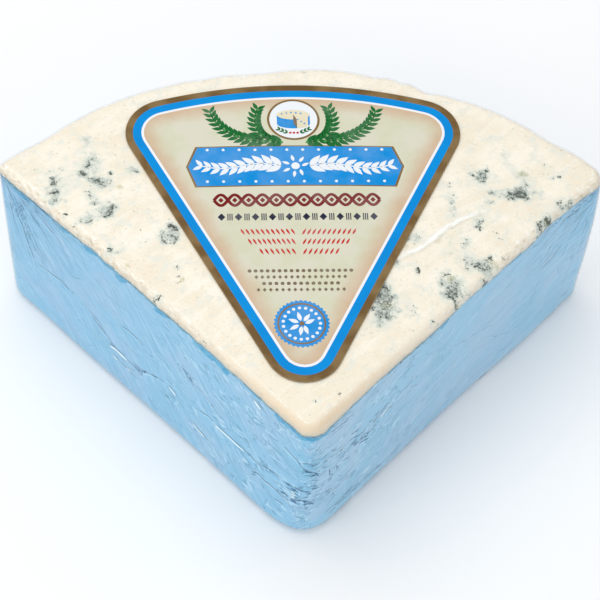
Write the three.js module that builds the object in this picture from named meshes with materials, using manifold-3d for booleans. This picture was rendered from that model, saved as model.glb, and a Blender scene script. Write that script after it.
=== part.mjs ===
// A wedge of gorgonzola in its shop pack: a quarter sector cut from half the height of a wheel, in an
// open-topped blue foil wrap, under a clear shrink film with a rounded triangular label on top.
// Millimetres, +Z up, +Y from the wedge's tip to its rind. The origin is under the middle of the
// pack's outer box, on the surface that it stands on.

import * as THREE from 'three';
import { mergeVertices } from 'three/addons/utils/BufferGeometryUtils.js';
import Module from 'manifold-3d';

// The wedge, measured over the film.
const packHeight = 75;            // base to top: half of a wheel 150 high
const cutHalfAngle = Math.PI / 4; // each cut face from the middle line: a quarter of the round
const wheelRadius = 140;          // the rind's curve
const wheelCentreY = 14.5;        // the wheel's middle, from the point where the two cuts meet
const tipRadius = 8;              // upright edge between the two cut faces
const shoulderRadius = 3.6;       // upright edges between cut faces and rind
const edgeRadius = 3.4;           // rounding along the top and the base
const slump = 3;                  // how far the soft sides lean out at the base
const slumpCentreY = 92;          // the point that the lean spreads from

// The layers, from the outside in.
const filmThickness = 0.4;
const foilThickness = 0.5;
const labelThickness = 0.4;
const gap = 0.3;                  // between touching layers
const filmHem = 4;                // the film's lower edge above the base
const foilDrop = 4.2;             // the foil's rim below the top
const foilWave = 0.8;             // how far the rim wanders up and down
const foilWavelength = 46;

// The label, a blunt triangle with its far side bowed like the rind.
const labelTipY = 19;             // its nearest point, from the point where the cuts meet
const labelTopY = 144;
const labelHalfAngle = THREE.MathUtils.degToRad(27.4);
const labelTipRadius = 13;
const labelShoulderRadius = 15;
const labelBowRadius = 167;
const labelOffsetX = -2.6;        // stuck on a little to the left
const labelTurn = THREE.MathUtils.degToRad(1.3);

const wasm = await Module();
wasm.setup();

function arcPoints(centreX, centreY, radius, from, to, segments) {
  return new THREE.ArcCurve(centreX, centreY, radius, from, to, false).getPoints(segments);
}

// A sector with rounded corners, symmetric about the Y axis: straight edges at halfAngle on both sides
// of it, an arc of tip where they meet, arcs of shoulder at their far ends, and a far side on the
// circle of radius bow about (0, bowY). The whole outline is drawn inset by the distance given.
function sectorOutline({ tipY, halfAngle, tip, shoulder, bow, bowY }, inset = 0) {
  const sin = Math.sin(halfAngle);
  const cos = Math.cos(halfAngle);
  const apexY = tipY + inset / sin;
  const tipR = tip - inset;
  const shoulderR = shoulder - inset;
  const bowR = bow - inset;

  // The shoulder's centre lies shoulderR inside the straight edge and shoulderR inside the bow.
  const startX = -cos * shoulderR;
  const startY = apexY + sin * shoulderR;
  const along = startX * sin + (startY - bowY) * cos;
  const apart = startX ** 2 + (startY - bowY) ** 2 - (bowR - shoulderR) ** 2;
  const run = Math.sqrt(along ** 2 - apart) - along;
  const shoulderX = startX + sin * run;
  const shoulderY = startY + cos * run;
  const turn = Math.atan2(shoulderY - bowY, shoulderX);

  return new THREE.Shape([
    ...arcPoints(0, apexY + tipR / sin, tipR, halfAngle - Math.PI, -halfAngle, 8),
    ...arcPoints(shoulderX, shoulderY, shoulderR, -halfAngle, turn, 6),
    ...arcPoints(0, bowY, bowR, turn, Math.PI - turn, 22).slice(1, -1),
    ...arcPoints(-shoulderX, shoulderY, shoulderR, Math.PI - turn, Math.PI + halfAngle, 6),
  ]);
}

function toSolid(geometry) {
  const bare = geometry.clone();
  bare.deleteAttribute('normal');
  bare.deleteAttribute('uv');
  const merged = mergeVertices(bare);
  const vertProperties = new Float32Array(merged.attributes.position.array);
  const triVerts = new Uint32Array(merged.index.array);
  return new wasm.Manifold(new wasm.Mesh({ numProp: 3, vertProperties, triVerts }));
}

function toGeometry(solid) {
  const { vertProperties, triVerts } = solid.getMesh();
  const geometry = new THREE.BufferGeometry();
  geometry.setAttribute('position', new THREE.BufferAttribute(vertProperties, 3));
  geometry.setIndex(new THREE.BufferAttribute(triVerts, 1));
  geometry.computeVertexNormals();
  return geometry;
}

// The soft sides spread towards the base: each level is drawn wider about the slump's centre.
function lean(geometry) {
  const position = geometry.attributes.position;
  const reach = slumpCentreY * Math.sin(cutHalfAngle);
  for (let i = 0; i < position.count; i++) {
    const spread = 1 + (slump / reach) * (1 - position.getZ(i) / packHeight);
    position.setX(i, position.getX(i) * spread);
    position.setY(i, slumpCentreY + (position.getY(i) - slumpCentreY) * spread);
  }
  return geometry;
}

// The wedge's whole body, drawn inset on its sides and standing from floor to ceiling.
function wedgeGeometry(inset, floor, ceiling) {
  const rounding = edgeRadius - inset;
  const outline = sectorOutline({
    tipY: 0,
    halfAngle: cutHalfAngle,
    tip: tipRadius,
    shoulder: shoulderRadius,
    bow: wheelRadius,
    bowY: wheelCentreY,
  }, inset);
  const geometry = new THREE.ExtrudeGeometry(outline, {
    depth: ceiling - floor - 2 * rounding,
    steps: 3,
    bevelSize: rounding,
    bevelThickness: rounding,
    bevelOffset: -rounding,
    bevelSegments: 4,
  });
  geometry.translate(0, 0, floor + rounding);
  return lean(geometry);
}

// A block over the whole footprint between two heights, with an underside that can wave.
function slab(from, to, waveHeight = 0) {
  const width = 260;
  const length = 200;
  const geometry = new THREE.BoxGeometry(width, length, to - from, 20, 16, 1);
  geometry.translate(0, length / 2 - 20, (from + to) / 2);
  const position = geometry.attributes.position;
  for (let i = 0; i < position.count; i++) {
    const phase = (2 * Math.PI) / foilWavelength;
    const wave = Math.sin(position.getX(i) * phase) * Math.cos(position.getY(i) * phase * 0.8);
    if (position.getZ(i) < (from + to) / 2) position.setZ(i, from + waveHeight * wave);
  }
  return toSolid(geometry);
}

const foilInset = filmThickness + gap;
const cheeseInset = foilInset + foilThickness + gap;
const filmUnderside = packHeight - filmThickness;
const below = -10;
const above = packHeight + 10;

function cheeseGeometry() {
  return wedgeGeometry(cheeseInset, foilThickness + gap, filmUnderside - gap);
}

function foilGeometry() {
  const outside = toSolid(wedgeGeometry(foilInset, 0, packHeight));
  const inside = toSolid(wedgeGeometry(foilInset + foilThickness, foilThickness, above));
  return toGeometry(outside.subtract(inside).subtract(slab(packHeight - foilDrop, above, foilWave)));
}

function filmGeometry() {
  const outside = toSolid(wedgeGeometry(0, 0, packHeight));
  const inside = toSolid(wedgeGeometry(filmThickness, below, filmUnderside));
  return toGeometry(outside.subtract(inside).subtract(slab(below, filmHem)));
}

function labelGeometry() {
  const outline = sectorOutline({
    tipY: labelTipY + labelTipRadius - labelTipRadius / Math.sin(labelHalfAngle),
    halfAngle: labelHalfAngle,
    tip: labelTipRadius,
    shoulder: labelShoulderRadius,
    bow: labelBowRadius,
    bowY: labelTopY - labelBowRadius,
  });
  const geometry = new THREE.ExtrudeGeometry(outline, { depth: labelThickness, bevelEnabled: false });
  const middleY = (labelTipY + labelTopY) / 2;
  geometry.translate(0, -middleY, 0);
  geometry.rotateZ(labelTurn);
  geometry.translate(labelOffsetX, middleY, packHeight + gap);
  return geometry;
}

function piece(name, geometry, color, roughness, more = {}) {
  const material = new THREE.MeshStandardMaterial({ color, roughness, metalness: 0, ...more });
  const mesh = new THREE.Mesh(geometry, material);
  mesh.name = name;
  return mesh;
}

const pack = new THREE.Group();
pack.add(
  piece('cheese', cheeseGeometry(), '#f6efdd', 0.6),
  piece('foil_wrap', foilGeometry(), '#98c6e4', 0.35, { metalness: 0.1 }),
  piece('clear_film', filmGeometry(), '#ffffff', 0.1, { transparent: true, opacity: 0.2 }),
  piece('label', labelGeometry(), '#e6e3d2', 0.45),
);

// Put the origin under the middle of the outer box.
const box = new THREE.Box3().setFromObject(pack);
pack.position.set(-(box.min.x + box.max.x) / 2, -(box.min.y + box.max.y) / 2, -box.min.z);

const gorgonzolaWedge = new THREE.Group();
gorgonzolaWedge.add(pack);
export default gorgonzolaWedge;
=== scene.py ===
import math

import bmesh
import bpy
import numpy as np
from mathutils import Matrix, Vector
from mathutils.geometry import delaunay_2d_cdt


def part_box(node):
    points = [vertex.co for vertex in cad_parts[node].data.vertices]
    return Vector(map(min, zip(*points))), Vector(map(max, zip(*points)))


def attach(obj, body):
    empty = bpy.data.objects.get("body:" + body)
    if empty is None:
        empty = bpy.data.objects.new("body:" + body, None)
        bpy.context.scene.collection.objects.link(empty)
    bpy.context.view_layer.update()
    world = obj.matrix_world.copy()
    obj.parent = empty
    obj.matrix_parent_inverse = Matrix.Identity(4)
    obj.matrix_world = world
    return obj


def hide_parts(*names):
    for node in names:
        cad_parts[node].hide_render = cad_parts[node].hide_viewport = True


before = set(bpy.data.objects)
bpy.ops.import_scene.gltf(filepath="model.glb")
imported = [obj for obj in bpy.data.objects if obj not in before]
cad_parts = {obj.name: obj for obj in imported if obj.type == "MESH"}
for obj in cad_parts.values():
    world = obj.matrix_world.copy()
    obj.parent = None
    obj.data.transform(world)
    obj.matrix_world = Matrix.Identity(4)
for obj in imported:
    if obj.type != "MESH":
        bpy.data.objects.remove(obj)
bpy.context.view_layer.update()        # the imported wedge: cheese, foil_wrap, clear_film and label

# Lengths below are millimetres in the pack's own frame. x = 0 is the wedge's middle line, and
# y = tipY + distance from the point where the two cut faces would meet.
mm = 0.001
labelSetBack = 19        # from the meeting point of the cuts to the label's nearest point
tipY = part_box("label")[0].y / mm - labelSetBack
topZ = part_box("clear_film")[1].z / mm

wedge = {
    "cutAngle": 45,          # each cut face from the middle line
    "wheelRadius": 140,
    "wheelCentre": 14.5,
    "tipTop": 5.3,           # upright corner between the cut faces, at the top and at the base
    "tipBase": 14.5,
    "shoulderTop": (1.8, 5.5),       # upright corners at the rind, left hand then right
    "shoulderBase": (8.5, 8.5),
    "lean": 3.5,             # how far the sides lean out at the base
    "topEdge": 2.8,          # rounding along the top
    "baseEdge": 4.4,
    "setIn": 0.1,            # the film's mean surface inside the moulded outline
    # swellings: place from the tip as a share of the way to the shoulder, the right hand positive,
    # half length in mm, then how far out at the top and at the base
    "swellings": [(-1.0, 14, 1.2, .9), (-1.13, 8, -.8, 0), (1.02, 14, 1.0, 2.2), (1.03, 4, -.6, 0),
                  (.955, 5, 0, -1.0), (.78, 24, 0, 1.0), (-.75, 34, 0, .8), (-.05, 6, 0, -.8)],
    "belly": (1.03, 15, 1.9),        # the same for the bulge halfway down the right-hand shoulder
    "bellyRise": .6,         # less than 1 lifts the bulge's widest place
    "dentFades": 26,         # how far down the rind's uneven edge tells
    "sagFades": 10,          # the same for the film's dips
    "skinCells": 190,        # mesh cells along each of the outline's four quarters, film and wrap
    "pasteCells": 268,       # the same for the cheese
}


# numbers

scatter = (374761393, 668265263, 1274126177, 974711)     # a factor each for x, y, z and the seed
word = 0xFFFFFFFF            # 32 bits


def latticeValue(ix, iy, iz, seed):
    # A fixed value between -1 and 1 for each point of a lattice.
    h = (ix * scatter[0] + iy * scatter[1] + iz * scatter[2] + seed * scatter[3]) & word
    h = ((h ^ (h >> 13)) * scatter[2]) & word
    return ((h ^ (h >> 16)) & 0xFFFF) / 32767.5 - 1


def softNoise(x, y, z, size, seed):
    # Smooth noise between -1 and 1 with lumps of the given size.
    total = 0
    cell, part = [], []
    for value in (x, y, z):
        scaled = np.asarray(value, float) / size
        whole = np.floor(scaled)
        cell.append(whole.astype(np.int64))
        share = scaled - whole
        part.append(share * share * (3 - 2 * share))
    for i in (0, 1):
        for j in (0, 1):
            for k in (0, 1):
                weight = 1
                for axis, step in enumerate((i, j, k)):
                    weight = weight * (part[axis] if step else 1 - part[axis])
                total = total + weight * latticeValue(cell[0] + i, cell[1] + j, cell[2] + k, seed)
    return total


def layeredNoise(x, y, z, size, seed, layers=3):
    total, reach = 0, 0
    for layer in range(layers):
        total = total + softNoise(x, y, z, size / 2 ** layer, seed + 31 * layer) / 2 ** layer
        reach += 1 / 2 ** layer
    return total / reach


def ramp(value, low, high):
    share = np.clip((value - low) / (high - low), 0, 1)
    return share * share * (3 - 2 * share)


# meshes

def gridFaces(rows, columns, start=0, closed=False):
    # Quads over rows of points; closed joins the last column to the first.
    row = np.arange(rows - 1)[:, None]
    column = np.arange(columns if closed else columns - 1)[None, :]
    nextColumn = (column + 1) % columns
    corners = [row * columns + column, row * columns + nextColumn,
               (row + 1) * columns + nextColumn, (row + 1) * columns + column]
    return start + np.stack([c.ravel() for c in np.broadcast_arrays(*corners)], 1)


def ringFaces(rings):
    # Quads between rings of point numbers that go down, each ring anticlockwise from above.
    upper, lower = rings[:-1], rings[1:]
    return np.stack((upper, lower, np.roll(lower, -1, 1), np.roll(upper, -1, 1)), -1).reshape(-1, 4)


def finishPiece(mesh, name, replaced=None):
    piece = bpy.data.objects.new(name, mesh)
    bpy.context.scene.collection.objects.link(piece)
    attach(piece, "root")
    if replaced:
        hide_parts(replaced)
    return piece


def makeMesh(name, points, faces, smooth=True):
    mesh = bpy.data.meshes.new(name)
    mesh.from_pydata((np.asarray(points, float) * mm).tolist(), [], [list(map(int, f)) for f in faces])
    mesh.polygons.foreach_set("use_smooth", np.full(len(mesh.polygons), smooth))
    mesh.update()
    return mesh


def setField(piece, name, values):
    field = piece.data.attributes.new(name, "FLOAT", "POINT")
    field.data.foreach_set("value", np.asarray(values, np.float32).ravel())


def setLineFields(piece, name, gap, strength):
    # The signed distance crosses nought on a line, so that its middle is found between points too.
    # The plain distance tells a line from a place where the nearest line merely changes.
    setField(piece, name + "Gap", gap)
    setField(piece, name + "Near", np.abs(gap))
    setField(piece, name + "Strength", strength)


# outlines

def arcPoints(centre, radius, start, stop, count=24):
    angle = np.linspace(start, stop, count)
    return np.column_stack((centre[0] + radius * np.cos(angle), centre[1] + radius * np.sin(angle)))


def evenly(points, cells):
    step = np.hypot(*np.diff(points, axis=0).T)
    along = np.concatenate(([0], np.cumsum(step)))
    at = np.linspace(0, along[-1], cells + 1)
    return np.column_stack([np.interp(at, along, points[:, axis]) for axis in (0, 1)])


def sectorLoop(cells, apexY, half, tip, shoulder, bow, bowY):
    # A sector with rounded corners, anticlockwise from the tip's middle, cells points a quarter.
    # The quarters run from tip to shoulder and from shoulder to the far side's middle.
    sin, cos = math.sin(half), math.cos(half)
    startX, startY = -cos * shoulder, apexY + sin * shoulder
    along = startX * sin + (startY - bowY) * cos
    apart = startX ** 2 + (startY - bowY) ** 2 - (bow - shoulder) ** 2
    run = math.sqrt(along ** 2 - apart) - along
    centre = (startX + sin * run, startY + cos * run)
    turn = math.atan2(centre[1] - bowY, centre[0])
    middle = (turn - half) / 2
    near = np.vstack((arcPoints((0, apexY + tip / sin), tip, -math.pi / 2, -half),
                      arcPoints(centre, shoulder, -half, middle)))
    far = np.vstack((arcPoints(centre, shoulder, middle, turn),
                     arcPoints((0, bowY), bow, turn, math.pi / 2, 120)))
    near, far = evenly(near, cells), evenly(far, cells)
    flip = np.array([-1, 1])
    return np.vstack((near[:-1], far[:-1], far[:0:-1] * flip, near[:0:-1] * flip))


def outwardNormals(loop):
    tangent = np.roll(loop, -1, 0) - np.roll(loop, 1, 0)
    tangent /= np.hypot(*tangent.T)[:, None]
    return np.column_stack((tangent[:, 1], -tangent[:, 0]))


def coonsPatch(loop, cells):
    # Fills a closed outline of 4 * cells points with a square grid of (cells + 1) by (cells + 1).
    near = loop[:cells + 1]                        # tip to right shoulder
    right = loop[cells:2 * cells + 1]              # right shoulder to far middle
    left = loop[2 * cells:3 * cells + 1][::-1]     # left shoulder to far middle
    nearLeft = np.vstack((loop[:1], loop[:3 * cells - 1:-1]))
    u = np.linspace(0, 1, cells + 1)[:, None, None]
    v = np.linspace(0, 1, cells + 1)[None, :, None]
    patch = ((1 - v) * near[:, None] + v * left[:, None] + (1 - u) * nearLeft[None] + u * right[None]
             - (1 - u) * (1 - v) * near[0] - u * (1 - v) * near[-1]
             - (1 - u) * v * left[0] - u * v * left[-1])
    return patch.reshape(-1, 2)


def patchRim(cells, start=0):
    # Numbers of a patch's edge points, in the outline's own order.
    size = cells + 1
    grid = start + np.arange(size * size).reshape(size, size)
    return np.concatenate((grid[:-1, 0], grid[-1, :-1], grid[:0:-1, -1], grid[0, :0:-1]))


# the wedge's faces, shared by the cheese, the wrap and the film

wrapShape = {
    "rows": 92,
    "depth": 0.28,           # under the film
    "thickness": 0.3,
    # height of bare paste above the wrap's edge: distance from the tip, the right hand positive
    "rim": [
        (-270, 6.2), (-166, 6.0), (-158, 5.0), (-151, 3.8), (-143, 4.3), (-132, 5.4), (-116, 5.0),
        (-106, 3.9), (-90, 4.0), (-78, 3.5), (-66, 3.7), (-58, 4.0), (-46, 3.7), (-36, 4.7), (-28, 4.1),
        (-18, 5.2), (-6, 5.3), (0, 6.3), (6, 7.8), (14, 7.1), (28, 5.5), (50, 5.9), (66, 5.6), (78, 4.4),
        (96, 5.0), (112, 6.2), (124, 3.1), (132, 4.5), (142, 3.7), (150, 4.2), (158, 5.2), (166, 6.0),
        (270, 6.2),
    ],
    "rimRag": .9,            # how uneven that edge is, in lumps of these shares, sizes, seeds, layers
    "rimLumps": [(.4, 12, 61, 3), (.6, 2.6, 63, 2)],
    "rimLimits": (2.3, 9),
    "lowest": .25,
    "rowCrowd": .92,         # less than 1 packs the rows of the mesh towards the edge
    "tuck": .6,              # how far below its edge the wrap turns in over the cheese
    "tuckIn": 1.2,
    # smooth wet-looking places: distance from the tip, depth below the wrap's edge, half length,
    # half height, tilt
    "wetPlaces": [
        (-104.5, 1.7, 4.4, 1.5, -.2), (-96, 1.4, 3, 1.1, -.1), (-89, 2.1, 3.2, 1.8, -.4),
        (-68.5, 1.5, 3.8, 1.5, -.3), (-58, .9, 3, .8, 0), (-47.5, 2.1, 5.4, 2.1, .1),
        (-38.6, 2.2, 1.9, 2.4, -1.2), (-25, 1.0, 4, .8, 0), (-12.3, 1.7, 2.9, 1.4, -.1),
        (-5.6, 1.6, 3.2, 1.3, 0), (1, 1.6, 4.2, 1.5, 0), (-118, 1.2, 3, 1.1, -.2), (-140, 1.6, 4, 1.3, 0),
        (8, 1.6, 3, 1.1, 0), (22, .9, 3, .7, 0), (40, .9, 3, .6, 0), (66, 1.4, 2.6, 1.4, -.3),
        (104, 1.0, 4, .8, 0), (180, .7, 4, .6, 0), (-190, .6, 5, .6, 0),
    ],
}

rind = {
    "begins": (-2, 8),       # distances past a shoulder over which the rind's own shape sets in
    "wobble": 0.7,           # uneven edge of the rind, inwards
    "wobbleSize": 11,
    # x, width and depth of the notches in the top's far edge
    "notches": [
        (27, 3.5, .9), (37, 3, .9), (47, 4, 2.2), (55, 7, 1.5), (-18, 13, 1.8), (-36, 6, 1.0),
        (-52, 5, .3), (66, 4, .5), (43, 3, .9), (89, 6, 1.1), (-67, 9, -.5),
    ],
}

filmDips = {
    "least": .04,
    "dips": [(.30, 55, 3), (.14, 19, 5)],    # depth, size and seed
}


def filmTop(x, y):
    # Height of the film over the flat top, in gentle dips.
    height = topZ - filmDips["least"]
    for depth, size, seed in filmDips["dips"]:
        height = height - depth * (1 + softNoise(x, y, 0, size, seed)) / 2
    return height


def wedgeSides(cells):
    # The outline at the top and at the base, and what the faces below need at each of its points.
    half = math.radians(wedge["cutAngle"])
    loops = []
    for lean, tip, shoulder in ((0, "tipTop", "shoulderTop"), (wedge["lean"], "tipBase", "shoulderBase")):
        out = lean - wedge["setIn"]
        hands = [sectorLoop(cells, tipY - out / math.sin(half), half, wedge[tip], radius,
                            wedge["wheelRadius"] + out, tipY + wedge["wheelCentre"])
                 for radius in wedge[shoulder]]
        loops.append(np.vstack((hands[1][:2 * cells], hands[0][2 * cells:])))
    top, base = loops
    normal = outwardNormals((top + base) / 2)
    step = np.hypot(*(np.roll(base, -1, 0) - base).T)
    around = np.concatenate(([0], np.cumsum(step)))
    length = around[-1]
    around = around[:-1]
    signed = np.where(around > length / 2, around - length, around)
    shoulderAt = around[cells]
    low, high = rind["begins"]
    onRind = ramp(np.abs(signed), shoulderAt + low, shoulderAt + high)
    dent = rind["wobble"] * (1 + layeredNoise(top[:, 0], top[:, 1], 0, rind["wobbleSize"], 81)) / 2 * onRind
    for x, width, depth in rind["notches"]:
        dent = dent + depth * np.exp(-((top[:, 0] - x) / width) ** 2) * onRind
    for share, reach, outTop, outBase in wedge["swellings"]:
        bulge = np.exp(-((signed - share * shoulderAt) / reach) ** 2)[:, None] * normal
        top, base = top + outTop * bulge, base + outBase * bulge
    share, reach, out = wedge["belly"]
    belly = out * np.exp(-((signed - share * shoulderAt) / reach) ** 2)
    brow = top - normal * (wedge["topEdge"] + dent)[:, None]
    return {"cells": cells, "count": 4 * cells, "top": top, "base": base, "normal": normal,
            "signed": signed, "length": length, "shoulderAt": shoulderAt, "dent": dent,
            "belly": belly, "sag": topZ - filmTop(brow[:, 0], brow[:, 1])}


def rimDrop(side):
    # How far the wrap's edge lies below the top, all round.
    x, y = side["top"].T
    places, drops = np.array(wrapShape["rim"]).T
    drop = np.interp(side["signed"], places, drops)
    rag = sum(share * layeredNoise(x, y, 0, size, seed, layers)
              for share, size, seed, layers in wrapShape["rimLumps"])
    return np.clip(drop + wrapShape["rimRag"] * rag, *wrapShape["rimLimits"])


def sidePoints(side, z, depth, relief=0):
    # Points of the upright faces at heights z (one row each), depth under the film.
    z = np.asarray(z, float)
    share = np.clip(1 - z / topZ, 0, 1)[..., None]
    flat = side["top"] + (side["base"] - side["top"]) * share
    upper, lower = wedge["topEdge"], wedge["baseEdge"]
    intoTop = np.clip(z - (topZ - upper), 0, upper)
    intoBase = np.clip(lower - z, 0, lower)
    inset = upper - np.sqrt(upper ** 2 - intoTop ** 2) + lower - np.sqrt(lower ** 2 - intoBase ** 2)
    dent = side["dent"] * ramp(z, topZ - wedge["dentFades"], topZ)
    belly = side["belly"] * np.sin(math.pi * np.clip(1 - z / topZ, 0, 1) ** wedge["bellyRise"])
    flat = flat + side["normal"] * (relief + belly - depth - inset - dent)[..., None]
    return np.dstack((flat[..., 0], flat[..., 1], np.broadcast_to(z, flat.shape[:-1])))


def nearTop(z):
    # 1 at the top, fading out over the uppermost part of the sides.
    return ramp(z, topZ - wedge["sagFades"], topZ)


def browLine(side, depth):
    # The outline of the flat top, depth under the film.
    return sidePoints(side, np.full((1, side["count"]), topZ), depth)[0][:, :2]


def edgeDrops(rows):
    # How far each row of the rounded top edge lies below the top.
    return wedge["topEdge"] * (1 - np.cos(np.linspace(0, 1, rows + 1)[1:] * math.pi / 2))


def shellMesh(name, cells, top, walls):
    # The points and the mesh of a top patch, rows of wall points below it, and a flat base.
    rings = len(top) + np.arange(walls.size // 3).reshape(walls.shape[:2])
    rings = np.vstack((patchRim(cells), rings))
    points = np.vstack((top, walls.reshape(-1, 3)))
    faces = gridFaces(cells + 1, cells + 1)[:, ::-1].tolist() + ringFaces(rings).tolist()
    return points, makeMesh(name, points, faces + [rings[-1][::-1]])


skinSide = wedgeSides(wedge["skinCells"])
print("outline ready, top", round(topZ, 1), "mm high, tip at", round(tipY, 1))


# creases, drawn on the upright faces: distance round the outline from the tip, the right hand
# positive, and height above the base

creases = {
    # relief width, depth, then around and up for each point that the crease runs through
    "drawn": [
        (1.1, .45, -105, 30, -101, 27, -96, 25, -91, 22), (1, .35, -106, 33, -101, 30, -97, 27),
        (1.1, .5, -86, 22, -79, 21, -75, 26, -66, 28.5), (1, .3, -84, 24, -78, 24, -70, 27),
        (1, .3, -94, 17, -86, 16, -80, 15), (1, .4, -89, 41, -83, 42, -77, 40), (1, .2, -79, 37, -68, 39),
        (1, .45, -59, 48, -53, 45), (1, .2, -58, 46, -50, 43, -42, 41),
        (1.1, .35, -134, 33, -124, 34, -113, 34), (1, .15, -112, 35, -104, 31),
        (1, .4, -52, 30, -47, 31, -41, 32), (1, .3, -46, 42, -43, 40, -40, 38),
        (1.1, .5, -27, 31, -23, 30, -18, 28), (1, .45, -20, 30, -15, 33, -10, 32.5),
        (1.1, .5, -24, 23, -16, 23, -12, 23, -8, 20.5), (1, .25, -24, 67, -20, 64),
        (1, .5, -10, 54, -5, 51, -2, 48), (1, .25, -52, 18, -46, 16, -40, 16),
        (1, .45, -9, 31.5, -6, 32.5, -2, 30), (1, .35, -8, 29, -4, 29.5, -1, 27),
        (1.4, .9, -5.4, 22.6, -2, 22, 0, 23.4), (1.1, .5, -4, 24.6, 0, 25.6, 3, 23),
        (1.3, .8, 1.6, 22, 4, 20.4), (1, .3, -3, 12, 1, 11), (1.1, .6, -2, 47.4, 0, 44.6, 3, 44),
        (1, .45, -1, 45.6, 2, 42.4, 5, 43), (1, .4, 1, 42, 4, 40.4, 7, 42.6),
        (1, .3, 1, 53, 3, 51, 5, 52), (1, .3, 2, 49, 4, 48, 6, 49), (1, .3, 10, 40, 11, 36, 12, 32),
        (1, .25, 13, 38, 14, 33), (1, .3, 9, 66, 15, 64, 21, 64), (1, .3, 8, 64, 14, 62, 22, 62),
        (1, .2, 7, 61, 12, 60, 18, 60.6), (1.2, .55, 19, 46, 22, 45, 25, 43),
        (1.1, .45, 22, 41, 26, 41, 29, 38), (1.1, .6, 17, 36, 20, 34.6), (1.1, .5, 22, 34, 25, 34),
        (1.1, .5, 24, 38, 30, 36), (1, .4, 31, 43, 36, 45, 39, 49), (1, .35, 20, 49, 26, 48),
        (1.1, .55, 9, 9, 17, 9, 26, 9.6), (1, .5, 11, 6.4, 20, 6.6, 30, 7),
        (1, .22, 28, 8, 36, 7.6, 44, 7), (1, .1, 60, 9, 68, 10, 76, 9.6),
        (1.1, .3, 134, 50, 128, 46, 121, 44), (1, .16, 141, 42, 142, 34, 141, 29),
        (1, .12, 134, 38, 135, 29), (1, .2, 128, 60, 125, 53, 118, 50),
        (1, .34, 150, 69.4, 142, 68, 134, 67.4), (1, .3, 147, 66.6, 139, 65.6, 130, 66),
        (1, .3, 132, 68.6, 126, 69.4, 119, 68), (1, .24, 126, 66.6, 119, 65.8, 111, 66),
        (1, .24, 149, 64.6, 143, 61, 137, 58), (1, .16, 148, 59, 145, 52, 144.4, 45),
        (1, .16, 151, 56, 148, 47, 148, 40), (1.2, .16, 66, 48, 82, 42, 101, 34),
        (1.1, .14, 91, 33, 104, 22, 121, 14),
    ],
    # bunches of short wrinkles: middle, spread round and up, how many, depth
    "bunches": [
        (24, 41, 6, 3.4, 26, .36), (-2, 31, 5, 2.6, 14, .4), (4, 45, 5, 4, 20, .32),
        (-3, 22, 4, 2.4, 14, .45), (12, 36, 4, 6, 12, .25), (5, 24, 3, 5, 10, .25),
        (-22, 26, 8, 4, 9, .25), (-88, 20, 9, 3, 8, .25), (-70, 28, 9, 5, 8, .25),
        (40, 47, 7, 4, 12, .25), (132, 40, 8, 10, 6, .18), (20, 8, 10, 2, 6, .3),
    ],
    # gathers from the shoulders' top corners, left hand then right: degrees below the level
    "fanAngles": [(6, 86), (4, 56)],
    "fanCount": (16, 8),
    "fanStrength": (.6, .4),
    "fanStart": (2, 10),     # least and most distance from the corner
    "fanStop": (18, 46),
    "bunchRun": (1.5, 4.5),  # least and most length of a wrinkle
    "nicks": 170,            # small folds all round
    "nickRun": (4, 17),
    "nickReach": 270,        # each way round the outline
    "seed": 5,
}

lineReach = 4.0              # how far from a drawn line the surface still feels it
foldLip = {"at": 1.7, "height": .35}     # raised edges of a fold, in its own widths and depths

skinRelief = {
    "creases": .6,
    "waves": [(.26, 34, 41, 1), (.06, 5, 43, .3)],       # depth, size, seed, change with height
    "sink": .2,
}


def pairs(numbers):
    return np.reshape(np.array(numbers, float), (-1, 2))


def wander(points, dice, reach=0.35, step=2.2):
    # A run of points through the given ones, bent a little like a real fold.
    points = np.array(points, float)
    length = np.hypot(*np.diff(points, axis=0).T).sum()
    line = evenly(points, max(2, int(length / step)))
    for _ in range(2):
        line[1:-1] = (line[:-2] + 2 * line[1:-1] + line[2:]) / 4
    return line + dice.normal(0, reach, line.shape)


def mark(width, depth, points, strength=None):
    # A line for drawLines: relief width and depth, how strongly it is tinted, and its points.
    return width, depth, min(1, 2 * abs(depth)) if strength is None else strength, points


def creaseList(side):
    shape = creases
    dice = np.random.default_rng(shape["seed"])
    found = [mark(width, depth, wander(pairs(line), dice)) for width, depth, *line in shape["drawn"]]
    for hand, angles, copies, most in zip((-1, 1), shape["fanAngles"], shape["fanCount"],
                                          shape["fanStrength"]):
        low, high = np.radians(angles)
        for along, count, share in ((-1, copies, 1), (1, copies // 2, .6)):     # cut face, then rind
            for i in range(count):
                angle = low + (high - low) * (i + dice.uniform(-.3, .3)) / count
                way = np.array([hand * along * math.cos(angle), -math.sin(angle)])
                start = np.array([hand * (side["shoulderAt"] + 3 * along), topZ - 3])
                first, last = dice.uniform(*shape["fanStart"]), dice.uniform(*shape["fanStop"])
                line = wander([start + way * first, start + way * last], dice, .16, 5)
                found.append(mark(dice.uniform(.9, 1.3), dice.uniform(.04, .12), line,
                                  dice.uniform(.2, most) * share))
    for around, up, wide, tall, count, depth in shape["bunches"]:
        for _ in range(count):
            place = np.array([dice.normal(around, wide), dice.normal(up, tall)])
            way = np.array([dice.uniform(*shape["bunchRun"]), dice.normal(0, 1)])
            middle = place + way / 2 + (0, dice.uniform(-1.3, .4))
            found.append(mark(dice.uniform(.7, .9), .7 * depth * dice.uniform(.4, 1.2),
                              wander([place, middle, place + way], dice, .1, 1),
                              depth * dice.uniform(1, 2.4)))
    for _ in range(shape["nicks"]):
        place = np.array([dice.uniform(-shape["nickReach"], shape["nickReach"]), dice.uniform(3, topZ - 9)])
        way = np.array([dice.uniform(*shape["nickRun"]), dice.normal(0, 2.5)])
        found.append(mark(dice.uniform(.8, 1.1), dice.uniform(.04, .16),
                          wander([place, place + way], dice)))
    return found


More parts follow.
